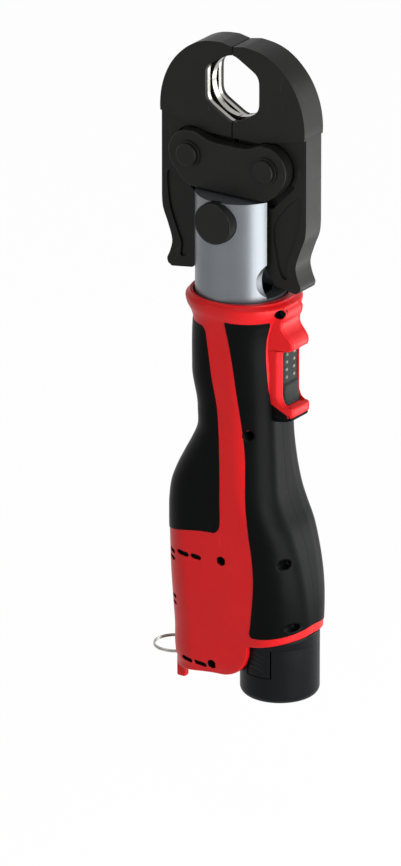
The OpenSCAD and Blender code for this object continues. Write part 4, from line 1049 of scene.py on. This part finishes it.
@dataclass
class Grips:
    """The four rubber panels on both sides of the red strip, and the chin under the guard's lip.

    Attributes:
        strip_front: Rows of height and X of the strip's front border.
        strip_rear: The same of its rear border.
        guard_edge: Rows of height and distance from the middle of the border beside the guard.
        chin_rows: Rows of height, front reach and half width of the chin.
    """
    skin: BodySkin
    recesses: SideRecesses
    strip_front: Array = table(
        [-336, 22.6], [-330, 24], [-320, 25.4], [-300, 27], [-285, 26], [-270, 23.5], [-250, 20.5],
        [-220, 18.0], [-210, 16.8], [-195, 14.7], [-170, 11.8], [-143, 6.8], [-137, 6.0])
    strip_rear: Array = table(
        [-284, 2.0], [-274, 3.4], [-264, 4.4], [-250, 4.0], [-220, 2.0], [-195, 0.4], [-170, -3.2],
        [-143, -6.8])
    guard_edge: Array = table(
        [-199.5, 0.0], [-198.8, 4.0], [-197.5, 6.6], [-194, 8.7], [-189, 10.4], [-184, 11.7], [-137, 12.5])
    chin_rows: Array = table(
        [-197.9, 41.8, 9.4], [-198.4, 42.6, 9.7], [-199.3, 42.3, 9.7], [-200.3, 41.0, 9.6],
        [-201.2, 38.6, 9.4], [-202.0, 34.4, 9.2], [-202.8, 28.0, 9.0])
    chin_r: float = 3.2
    chin_root: float = 22.0
    flank_root: float = 20.0

    def _share(self, curve: Array) -> Callable[[Array], Array]:
        """Border of a panel from rows of height and X."""
        return lambda z: self.skin.share_at_x(smooth_curve(z, *curve.T), z)

    def _front(self) -> Callable[[Array], Array]:
        """Front border: beside the guard, then round under its lip to the middle."""
        curve = self.guard_edge
        return lambda z: np.where(z < curve[0, 0], 1.0,
                                  self.skin.share_at_front(smooth_curve(z, *curve.T), z))

    def chin(self, far: bool) -> Array:
        """Bulge of rubber under the lip: level rounded sections that shrink back to the body's front."""
        r = self.chin_r
        a = np.radians(np.linspace(-90, 0, 9))
        level = np.stack([np.concatenate([
            np.stack([np.linspace(self.chin_root, x - r, 8), np.full(8, -half)], -1),
            np.stack([x - r + r * np.cos(a), -(half - r) + r * np.sin(a)], -1)[1:],
            np.stack([np.full(8, x), np.linspace(-(half - r), -0.02, 9)[1:]], -1)])
            for _, x, half in self.chin_rows])
        return mirrored(lifted(level, self.chin_rows[:, 0]), far)

    def flank(self, far: bool) -> Array:
        """Rubber behind the guard's diagonal lower edge: a level strip from the body to the red."""
        z = np.linspace(-183.5, -198.0, 24)[:, None]
        along = np.append(np.linspace(0, 1, 9), 1.0)[None, :]
        turned_in = np.append(np.zeros(9), 1.0)[None, :]
        end = np.minimum(Housing.guard_start(z) + 0.9, 41.0)
        y = -(Housing.guard_base(z) - 0.12) + turned_in
        x = self.flank_root + (end - self.flank_root) * along
        return mirrored(np.stack(np.broadcast_arrays(x, y, z), -1), far)

    def build(self, rubber: Material) -> None:
        """Make both panels of both sides."""
        for far in (False, True):
            side = "far" if far else "near"
            front = RubberPanel(self.skin, self.recesses, self._share(self.strip_front), self._front(),
                                top=-138.0, bottom=(-335.6, -329.6), rounded=(3.0, 4.0, 5.0, 0.0))
            front.build(f"{side}_front_rubber", far, rubber, f"{side}_front_grip",
                        (self.chin(far), self.flank(far)))
            rear = RubberPanel(self.skin, self.recesses, np.zeros_like, self._share(self.strip_rear),
                               top=-144.0, bottom=(-283.0, -274.0), rounded=(0.0, 5.0, 0.0, 6.0))
            rear.build(f"{side}_rear_rubber", far, rubber, f"{side}_rear_grip")


@dataclass
class Trigger:
    """Paddle trigger: a dished face with two columns of raised dots above and a smooth thumb pad below.

    Attributes:
        face: Rows of share of the way down and reach beyond the front.
        section: Rows of share of the half width and set-back from the front, from the side to the middle.
        dome: Rows of radius and height of a dot.
    """
    front: float = 35.2
    back: float = 30.2
    half: float = 7.95
    top: float = -157.3
    low: float = -191.7
    travel: float = 4.0
    pinch: float = 0.6
    face: Array = table(
        [0, -0.4], [0.05, 0.0], [0.3, -0.4], [0.6, -0.4], [0.64, 0.3], [0.8, 0.5], [0.93, 1.4], [1, 2.2])
    section: Array = table(
        [1.0, 9.0], [1.0, 1.0], [0.99, 0.55], [0.95, 0.2], [0.9, 0.1], [0.7, 0.04], [0.62, 0.02],
        [0.55, 0.0], [0.3, 0.0], [0.15, 0.0])
    dome: Array = table(
        [1.25, -0.5], [1.2, 0.2], [1.0, 0.62], [0.6, 0.85], [0.02, 0.92])
    dots_y: tuple[float, float] = (-3.9, 3.9)
    dots_z: tuple[float, ...] = (-160.4, -165.2, -170.0, -174.8)

    def build(self, plastic: Material, dots: Material) -> Object:
        """Make the paddle as level sections with slanted sides and a raised pad below, and its dots as domes.

        Args:
            plastic: The paddle's finish.
            dots: The raised dots' finish, light grey as a painted highlight.

        Returns:
            The dressed trigger.
        """
        z = np.concatenate([[self.top], np.linspace(self.top - 0.05, self.low + 0.05, 70), [self.low]])
        share = (self.top - z) / (self.top - self.low)
        pinch = np.zeros(len(z))
        pinch[[0, -1]] = self.pinch
        reach = self.front + smooth_curve(share, *self.face.T) - pinch
        side, drop = self.section.T
        rows = []
        for x, half in zip(reach, self.half - pinch):
            left = np.stack([np.maximum(x - drop, self.back), -half * side], -1)
            ends = [[self.back, 0.0]]
            rows.append(np.concatenate([ends, left, [[x, 0.0]], left[::-1] * [1, -1], ends]))
        paddle = lifted(np.stack(rows), z)
        dome, dome_faces = lathe(self.dome, 16)
        domes = [np.stack([float(np.interp(-dot_z, -z, reach)) - 0.3 + dome[..., 2], dot_y + dome[..., 0],
                           dot_z + dome[..., 1]], -1) for dot_y in self.dots_y for dot_z in self.dots_z]
        sides = grid_faces(*paddle.shape[:2])
        points, quads = joined([paddle, *domes], [sides] + [dome_faces] * len(domes))
        count, cols = paddle.size // 3, paddle.shape[1]
        faces = [range(cols), range(count - cols, count), *quads]
        piece = mesh_object("trigger_paddle", points, faces, plastic, outward=False)
        # The dots take the lighter finish, a painted highlight.
        two_tone(piece, dots, np.arange(len(faces)) >= len(sides) + 2)
        sharpen(piece, 40)
        return placed(piece, "trigger", Slot.DARK_PLASTIC.value, "trigger")

    def spring(self, steel: Material) -> Object:
        """The return spring behind the paddle: a copy of its solid, riding on the body with a mesh of its
        own.
        """
        piece = solid_copy("trigger_spring", "paddle_spring", steel, 0.0)
        placed(piece, "body", Slot.BRIGHT_STEEL.value, "trigger_spring")
        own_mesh(piece)
        return piece


@dataclass
class HousingScrews:
    """Socket-head screws at the bottom of the side recesses."""
    recesses: SideRecesses
    head_r: float = 2.45
    socket_r: float = 1.25
    shank_r: float = 1.4
    shank_end: float = 10.0
    head_h: float = 1.7
    socket_h: float = 1.1

    def build(self, steel: Material) -> Object:
        """Carry one profile of head, socket and shank round each screw's axis along Y.

        Args:
            steel: The finish.

        Returns:
            The five screws as one piece.
        """
        grids, faces = [], []
        for cx, cz, seat, _ in self.recesses.screws:
            top = seat - self.head_h
            socket = [[0.01, top + self.socket_h], [self.socket_r, top + self.socket_h],
                      [self.socket_r, top + 0.15], [self.socket_r + 0.2, top]]
            head = [[self.head_r - 0.5, top], [self.head_r - 0.1, top + 0.2], [self.head_r, top + 0.6],
                    [self.head_r, seat]]
            shank = [[self.shank_r, seat + 0.1], [self.shank_r, self.shank_end - 0.4], [0.01, self.shank_end]]
            profile = np.array(socket + head + shank)
            ring, quads = lathe(profile, 36)
            grids.append(np.stack([cx + ring[..., 0], ring[..., 2], cz + ring[..., 1]], -1))
            faces.append(quads)
        piece = mesh_object("side_screws", *joined(grids, faces), steel)
        sharpen(piece, 40)
        return placed(piece, "body", Slot.BLACK_STEEL.value, "housing_screws")


@dataclass
class PressHead:
    """Jaw, side plates, bolts, fork and pin: the solids' own faces, merged, with rounded edges.

    Attributes:
        bore_r: Radius within which all faces belong to the bore.
        groove_y: Distances from the middle between which the grooves lie.
        crown: Height of the flat top, drop and radius of the outer arc, softness and lift between them.
        bore_soft: Radius of the circle that rounds the bore's corners, and the softness.
        seam: How far each lever's seam is moved from the middle, above seam_low and outside seam_inner.
        bright_y: Distance from the middle up to which the ridges are bright steel; further out they stay
            black, as painted shade.
        scallop: X, Z and radius of the fork's scallops in the solid.
        dish_scale: How much deeper and longer the scallops become.
        head_start: Distance from the middle at which the pin's head starts.
        head_share: Share of its thickness that the pin's head keeps.
        cuts: How often the crown's top and each of the bore's flats are divided.
    """
    bore_r: float = 24.0
    groove_y: tuple[float, float] = (2.1, 4.55)
    crown: tuple[float, float, float, float, float] = (28.0, 19.0, 51.0, 5.0, 1.0)
    crown_low: float = 6.0
    bore_flat: float = 19.1
    bore_blunt: float = 21.3
    bore_soft: tuple[float, float] = (20.8, 0.7)
    seam: float = 0.25
    seam_low: float = -45.0
    seam_inner: float = 17.0
    bright_y: float = 7.5
    fork_r: float = 27.3
    fork_edge: float = 25.2
    scallop: tuple[float, float, float] = (32.55, -110.0, 10.5)
    dish_z: float = -114.8
    dish_scale: tuple[float, float] = (1.15, 1.35)
    head_start: float = 26.0
    head_share: float = 0.72
    cuts: tuple[int, int] = (12, 14)
    crown_blend: float = 12.0

    @staticmethod
    def _soft_minimum(a: float, b: float, soft: float) -> float:
        """Half the sum of two values, less the root of half their gap and half the softness, each squared."""
        return (a + b) / 2 - math.hypot((a - b) / 2, soft / 2)

    def round_lever(self, piece: Object) -> None:
        """Round the lever's outline at the top of the jaw, and its side of the bore.

        The flat top is divided, and then each height on the outline becomes a soft minimum of flat and round.

        Args:
            piece: The lever's copy.
        """
        top, drop, r, soft, lift = self.crown
        work = bmesh.new()
        work.from_mesh(piece.data)
        long = [e for e in work.edges if all(abs(v.co.z / MM - top) < 0.05 for v in e.verts)
                and abs(e.verts[0].co.x - e.verts[1].co.x) > 5 * MM]
        bmesh.ops.subdivide_edges(work, edges=long, cuts=self.cuts[0], use_grid_fill=True)
        for vert in work.verts:
            x, z = vert.co.x / MM, vert.co.z / MM
            arc = math.sqrt(max(r * r - x * x, 0)) - drop
            if z > self.crown_low and abs(z - min(arc, top)) < 0.3:
                level = self._soft_minimum(arc, top + lift, soft)
                share = float(smooth_step(np.array((z - self.crown_low) / self.crown_blend)))
                vert.co.z = MM * (z + (level - z) * share)
        self.round_bore(work)
        for face in work.faces:
            face.smooth = True
        work.to_mesh(piece.data)
        work.free()
        sharpen(piece)

    def round_bore(self, work: bmesh.types.BMesh) -> None:
        """Divide the bore's flats, give its blunt six-sided outline round corners and widen the seam.

        A point's distance from the axis is scaled from the blunt outline to a soft minimum of the six flats
        and a circle. The round middle ridge stays as it is.

        Args:
            work: The lever's mesh.
        """
        deep, flats = [], []
        for edge in work.edges:
            (x0, y0, z0), (x1, y1, z1) = (v.co / MM for v in edge.verts)
            if max(math.hypot(x0, z0), math.hypot(x1, z1)) < self.bore_r:
                if abs(y1 - y0) < 0.01 and math.hypot(x1 - x0, z1 - z0) > 4:
                    flats.append(edge)
                elif min(abs(y0), abs(y1)) > self.groove_y[1] - 0.1 and abs(y1 - y0) > 2:
                    deep.append(edge)
        cut = bmesh.ops.subdivide_edges(work, edges=deep, cuts=1, use_grid_fill=True)["geom_inner"]
        flats += [e for e in cut if isinstance(e, bmesh.types.BMEdge) and e.calc_length() > 4 * MM
                  and abs(e.verts[0].co.y - e.verts[1].co.y) < 0.01 * MM]
        bmesh.ops.subdivide_edges(work, edges=flats, cuts=self.cuts[1], use_grid_fill=True)
        side = math.copysign(self.seam, sum(v.co.x for v in work.verts))
        for vert in work.verts:
            x, y, z = vert.co / MM
            if abs(x) < 0.5 and z > self.seam_low and abs(z) > self.seam_inner:
                vert.co.x += side * MM
            if math.hypot(x, z) < self.bore_r and abs(y) > self.groove_y[0] + 0.1:
                turn = math.radians((math.degrees(math.atan2(z, x)) + 30) % 60 - 30)
                flat = self.bore_flat / math.cos(turn)
                share = self._soft_minimum(flat, *self.bore_soft) / min(flat, self.bore_blunt)
                vert.co.x, vert.co.z = vert.co.x * share, vert.co.z * share

    def dish_scallops(self, piece: Object) -> None:
        """Set the fork's scallops lower and make them longer and deeper.

        Points on a scallop's wall are spread along Z, and go further in along X and round the fork.

        Args:
            piece: The fork's copy.
        """
        x, y, z = get_points(piece).T
        middle, level, r = self.scallop
        wall = np.abs(np.hypot(np.abs(x) - middle, z - level) - r) < 0.06
        wall &= np.abs(x) < self.fork_edge + 0.3
        outer = np.hypot(x, y) > self.fork_r - 0.1
        new_x = self.fork_edge - np.maximum(self.fork_edge - np.abs(x), 0) * self.dish_scale[0]
        new_y = np.where(outer, np.sqrt(self.fork_r**2 - new_x**2), np.abs(y))
        x, y = np.where(wall, np.sign(x) * new_x, x), np.where(wall, np.sign(y) * new_y, y)
        z = np.where(wall, self.dish_z + (z - level) * self.dish_scale[1], z)
        set_points(piece, np.stack([x, y, z], -1))
        sharpen(piece)

    def thin_head(self, piece: Object) -> None:
        """Make the retaining pin's head thinner."""
        points = get_points(piece)
        past = np.minimum(points[:, 1] + self.head_start, 0)
        points[:, 1] += past * (self.head_share - 1)
        set_points(piece, points)

    def lever(self, side: str, steel: Material, bright: Material) -> None:
        """One jaw lever with a round crown: black outside, bright steel on the bore's middle ridges, grooves
        and outer ridges black as painted shade.
        """
        piece = solid_copy(f"{side}_jaw_lever", f"{side}_press_lever", steel, 0.9)
        self.round_lever(piece)
        x, y, z = np.array([p.center for p in piece.data.polygons]).T / MM
        normals = np.array([p.normal for p in piece.data.polygons])
        away, depth = np.hypot(x, z), np.abs(y)
        facing = (x * normals[:, 0] + z * normals[:, 2]) / np.maximum(away, 1e-6)
        groove = (depth > self.groove_y[0]) & (depth < self.groove_y[1])
        # Grooves and outer ridges stay black steel: painted shade between the polished middle ridges.
        two_tone(piece, bright, (away < self.bore_r) & (facing < -0.6) & ~groove & (depth < self.bright_y))
        placed(piece, f"{side}_jaw", Slot.BLACK_STEEL.value, f"{side}_jaw_lever")

    def build(self, steel: Material, bright: Material, satin: Material) -> None:
        """Make every piece of the head that shows."""
        for side in ("left", "right"):
            self.lever(side, steel, bright)
            placed(solid_copy(f"{side}_pivot_bolt", f"{side}_bolt", steel, 0.35), "head",
                   Slot.BLACK_STEEL.value, f"{side}_pivot_bolt")
        for side in ("front", "rear"):
            placed(solid_copy(f"{side}_side_plate", f"{side}_plate", steel, 0.9), "head",
                   Slot.BLACK_STEEL.value, f"{side}_side_plate")
        placed(solid_copy("bolt_snap_rings", "snap_rings", steel, 0.25), "head",
               Slot.BLACK_STEEL.value, "bolt_snap_rings")
        fork = solid_copy("fork_head", "fork", satin, 0.5)
        self.dish_scallops(fork)
        placed(fork, "head", Slot.SATIN_METAL.value, "fork_head")
        pin = solid_copy("retaining_pin", "lock_pin_head", steel, 0.5)
        self.thin_head(pin)
        placed(pin, "lock_pin", Slot.BLACK_STEEL.value, "retaining_pin")


@dataclass
class Battery:
    """Round slide-in battery: the case's own solid with soft edges, and two ribbed spring latches.

    Attributes:
        half_angle: Half of a latch's angle round the case, in degrees.
        middle: Angle of the near latch's middle, in degrees.
        ribs: Heights of the curved ribs.
        rib: Height, width and slope of a rib, and how far it bends.
        rib_span: Half length and middle of a rib, as shares of the latch's half angle.
        collar_low: Height at which the collar leaves the case.
        collar_r: Radii of the collar's rings, from below.
    """
    housing: Housing
    axis_x: float = 28.0
    r: float = 23.8
    top: float = -341.81
    low: float = -360.31
    half_angle: float = 18.9
    middle: float = -90.2
    wall: float = 2.8
    ribs: tuple[float, ...] = (-345.6, -348.5, -351.4, -354.3)
    rib: tuple[float, float, float, float] = (0.32, 0.4, 2.2, 1.2)
    rib_span: tuple[float, float] = (0.7, -0.14)
    collar_low: float = -342.5
    collar_r: tuple[float, ...] = (23.5, 23.83, 23.83, 23.7, 23.3, 22.0)

    def latch(self, far: bool, plastic: Material) -> Object:
        """One latch: a patch of the case's cylinder with curved ribs, and walls going in at its edges.

        The radius is the case's, less a rolled edge, plus a narrow hump round each rib's curve.

        Args:
            far: Whether this is the far latch.
            plastic: The finish.

        Returns:
            The dressed latch.
        """
        z = np.concatenate([[self.top], np.linspace(self.top, self.low, 90), [self.low]])[:, None]
        a = np.concatenate([[-1.0], np.linspace(-1, 1, 61), [1.0]])[None, :]
        edge = np.minimum((1 - np.abs(a)) * math.radians(self.half_angle) * self.r,
                          np.minimum(self.top - z, z - self.low))
        r = self.r - 0.35 + 0.25 * smooth_step(edge / 0.6)
        (tall, wide, slope, bend), (reach, middle) = self.rib, self.rib_span
        for rib in self.ribs:
            away = z - (rib - slope * (a + 0.2) - bend * a**2)
            r = r + tall * np.exp(-((away / wide) ** 2)) * smooth_step((reach - np.abs(a - middle)) / 0.08)
        r[[0, -1]] = r[:, [0, -1]] = self.r - self.wall
        angle = np.radians(self.middle + self.half_angle * a)
        x, y = self.axis_x + r * np.cos(angle), r * np.sin(angle)
        points = np.stack(np.broadcast_arrays(x, y, z), -1)
        name = "far" if far else "near"
        piece = mesh_object(f"{name}_latch_button", mirrored(points, far), side_faces(points, far), plastic,
                            outward=False)
        sharpen(piece, 50)
        return placed(piece, f"{name}_latch", Slot.DARK_PLASTIC.value, f"{name}_battery_latch")

    def collar(self, plastic: Material) -> Object:
        """Upper edge of the case: rings whose top follows the body's band, which climbs forwards."""
        count = 180
        angle = np.linspace(0, 2 * np.pi, count, endpoint=False)[None, :]
        front = self.axis_x + (self.r + 0.6) * np.cos(angle)
        top = self.housing.floor_z(np.maximum(front, self.housing.toe_x + self.housing.toe_r + 0.01)) - 0.35
        r = np.array(self.collar_r)[:, None]
        z = np.concatenate([np.full((2, count), self.collar_low), top - 0.5, top - 0.13, top, top])
        points = np.stack([self.axis_x + r * np.cos(angle), r * np.sin(angle), z], -1)
        piece = mesh_object("battery_collar", points, grid_faces(len(r), count, wrap_cols=True), plastic)
        return placed(piece, "battery", Slot.DARK_PLASTIC.value)

    def build(self, plastic: Material) -> None:
        """Make the case, its collar and both latches."""
        placed(solid_copy("battery_case", "battery_shell", plastic, 0.7), "battery",
               Slot.DARK_PLASTIC.value, "battery_case")
        self.collar(plastic)
        for far in (False, True):
            self.latch(far, plastic)


@dataclass
class Lanyard:
    """Split ring of two wire turns at the rear of the foot."""
    r: float = 13.0
    wire: float = 1.0
    steps: tuple[int, int] = (20, 120)

    def build(self, steel: Material) -> Object:
        """Carry each turn's wire circle round the ring's circle, at the solid's own place."""
        low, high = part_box("lanyard_ring")
        centre = np.array((low + high) / 2) / MM
        round_wire, round_ring = self.steps
        a = np.linspace(0, 2 * np.pi, round_wire, endpoint=False)
        half = self.wire / 2
        profiles = [np.stack([self.r + half * np.cos(a), lift + half * np.sin(a)], -1)
                    for lift in (-half, half)]
        turns = [lathe(profile, round_ring)[0] + centre for profile in profiles]
        faces = grid_faces(round_wire, round_ring, wrap_rows=True, wrap_cols=True)
        piece = mesh_object("wire_ring", *joined(turns, [faces, faces]), steel)
        return placed(piece, "lanyard", Slot.BRIGHT_STEEL.value, "lanyard_ring")


@dataclass
class Studio:
    """White floor, soft lamps and the long-lens camera of the photograph.

    Attributes:
        target: Place that the picture's centre shows, in millimetres.
        distance: Distance of the camera in metres.
        view_height: Height of the picture at the target in metres.
        floor: Height of the floor in millimetres, low enough for the battery to slide out.
        lamps: Rows of name, place in metres, size in metres and power in watts.
    """
    target: tuple[float, float, float] = (-19.87, -13.4, -218.8)
    azimuth: float = 34.0
    elevation: float = 21.0
    distance: float = 8.0
    view_height: float = 0.5124
    sensor: float = 36.0
    floor: float = -458.0
    floor_r: float = 12000.0
    floor_white: float = 0.97
    world_light: float = 0.26
    lamp_goal: tuple[float, float, float] = (0.0, 0.0, -0.19)
    lamps: tuple[tuple[str, tuple[float, float, float], float, float], ...] = (
        ("key_softbox", (1.55, -0.7, 0.45), 0.8, 21.0), ("rim_softbox", (1.05, 1.2, 0.05), 1.1, 12.0),
        ("left_fill", (-0.7, -1.7, 0.3), 1.3, 8.0), ("top_softbox", (-0.1, -0.2, 1.5), 0.9, 6.0),
        ("low_strip", (0.5, -0.08, -0.29), 0.4, 3.6), ("guard_strip", (0.3, 0.44, -0.34), 0.25, 0.9))

    def _aim(self, thing: Object, place: Vector, goal: Vector) -> None:
        """Stand a lamp or camera at a place and turn it towards a goal."""
        thing.location = place
        thing.rotation_euler = (goal - place).to_track_quat("-Z", "Y").to_euler()
        bpy.context.scene.collection.objects.link(thing)

    def camera(self) -> None:
        """Long lens aimed at the picture's centre."""
        a, e = math.radians(self.azimuth), math.radians(self.elevation)
        goal = Vector(self.target) * MM
        away = Vector((math.sin(a) * math.cos(e), -math.cos(a) * math.cos(e), math.sin(e))) * self.distance
        data = bpy.data.cameras.new("photo_camera")
        data.sensor_fit = "AUTO"
        data.sensor_width = self.sensor
        data.lens = self.sensor * self.distance / self.view_height
        data.clip_end = 100.0
        eye = bpy.data.objects.new("photo_camera", data)
        self._aim(eye, goal + away, goal)
        bpy.context.scene.camera = eye

    @staticmethod
    def _seen(tree: NodeTree) -> tuple[Node, str]:
        """Node and output that give one where the camera sees straight, in a mirror or through glass."""
        ray = add(tree, "LightPath")
        total = (ray, "Is Camera Ray")
        for kind in ("Is Glossy Ray", "Is Transmission Ray"):
            larger = add(tree, "Math", operation="MAXIMUM")
            wire(tree, (*total, larger, 0), (ray, kind, larger, 1))
            total = (larger, "Value")
        return total

    def world(self) -> None:
        """Even grey light, white where the camera or a mirror sees it."""
        world = bpy.data.worlds.new("studio")
        bpy.context.scene.world = world
        world.use_nodes = True
        tree = world.node_tree
        shine = tree.nodes["Background"]
        set_inputs(shine, {"Color": (1, 1, 1, 1)})
        level = add(tree, "MapRange", {"To Min": self.world_light, "To Max": 1.0})
        wire(tree, (*self._seen(tree), level, "Value"), (level, "Result", shine, "Strength"))

    def ground(self) -> None:
        """Pale floor that looks white to the camera and keeps a faint shadow."""
        count = 64
        a = np.linspace(0, 2 * np.pi, count, endpoint=False)
        level = np.full(count, self.floor - 0.02)
        ring = np.stack([self.floor_r * np.cos(a), self.floor_r * np.sin(a), level], -1)
        material = bpy.data.materials.new("white_floor")
        material.use_nodes = True
        tree = material.node_tree
        shader = tree.nodes["Principled BSDF"]
        set_inputs(shader, {"Base Color": (0.86, 0.86, 0.86, 1), "Roughness": 0.9, "Specular IOR Level": 0.1})
        glow, mix = add(tree, "Emission"), add(tree, "MixShader")
        share = add(tree, "Math", {1: self.floor_white}, operation="MULTIPLY")
        wire(tree, (*self._seen(tree), share, 0), (share, "Value", mix, "Fac"), (shader, "BSDF", mix, 1),
             (glow, "Emission", mix, 2), (mix, "Shader", tree.nodes["Material Output"], "Surface"))
        mesh_object("studio_floor", ring, [range(count)], material, outward=False)

    def build(self) -> None:
        """Set the whole stage."""
        self.camera()
        self.world()
        self.ground()
        for name, place, size, power in self.lamps:
            data = bpy.data.lights.new(name, "AREA")
            data.size = size
            data.energy = power
            self._aim(bpy.data.objects.new(name, data), Vector(place), Vector(self.lamp_goal))
        bpy.context.scene.view_settings.view_transform = "Standard"


def dress_inner_nodes(finishes: dict[Slot, Material]) -> None:
    """Give every CAD node that still shows the procedural finish of its slot."""
    wanted = {part["node"]: part["material_slot"] for part in frame["record"]["subparts"]}
    for name, piece in frame["nodes"].items():
        slot = Slot(wanted[name])
        piece.data.materials.clear()
        piece.data.materials.append(finishes[slot])
        LOG.info("%s keeps its solid, in %s", name, slot.value)


def main() -> None:
    """Build each sub-assembly in order and set the stage."""
    logging.basicConfig(level=logging.INFO, format="%(name)s: %(message)s")
    groups = PatternGroups()
    finishes = {finish.slot: finish.build(groups) for finish in FINISHES}
    steel, bright, satin = (finishes[s] for s in (Slot.BLACK_STEEL, Slot.BRIGHT_STEEL, Slot.SATIN_METAL))
    red, rubber, dark = (finishes[s] for s in (Slot.RED_PLASTIC, Slot.BLACK_RUBBER, Slot.DARK_PLASTIC))
    Studio().build()
    dress_inner_nodes(finishes)
    skin, recesses = BodySkin(), SideRecesses()
    housing = Housing(skin, recesses)
    for far in (False, True):
        housing.build(far, red, dark)
    Grips(skin, recesses).build(rubber)
    HousingScrews(recesses).build(steel)
    trigger = Trigger()
    trigger.build(TRIGGER_FACE.build(groups), TRIGGER_DOT_HIGHLIGHT.build(groups))
    trigger.spring(bright)
    PressHead().build(steel, bright, satin)
    Battery(housing).build(dark)
    Lanyard().build(bright)


if __name__ == "__main__":
    main()
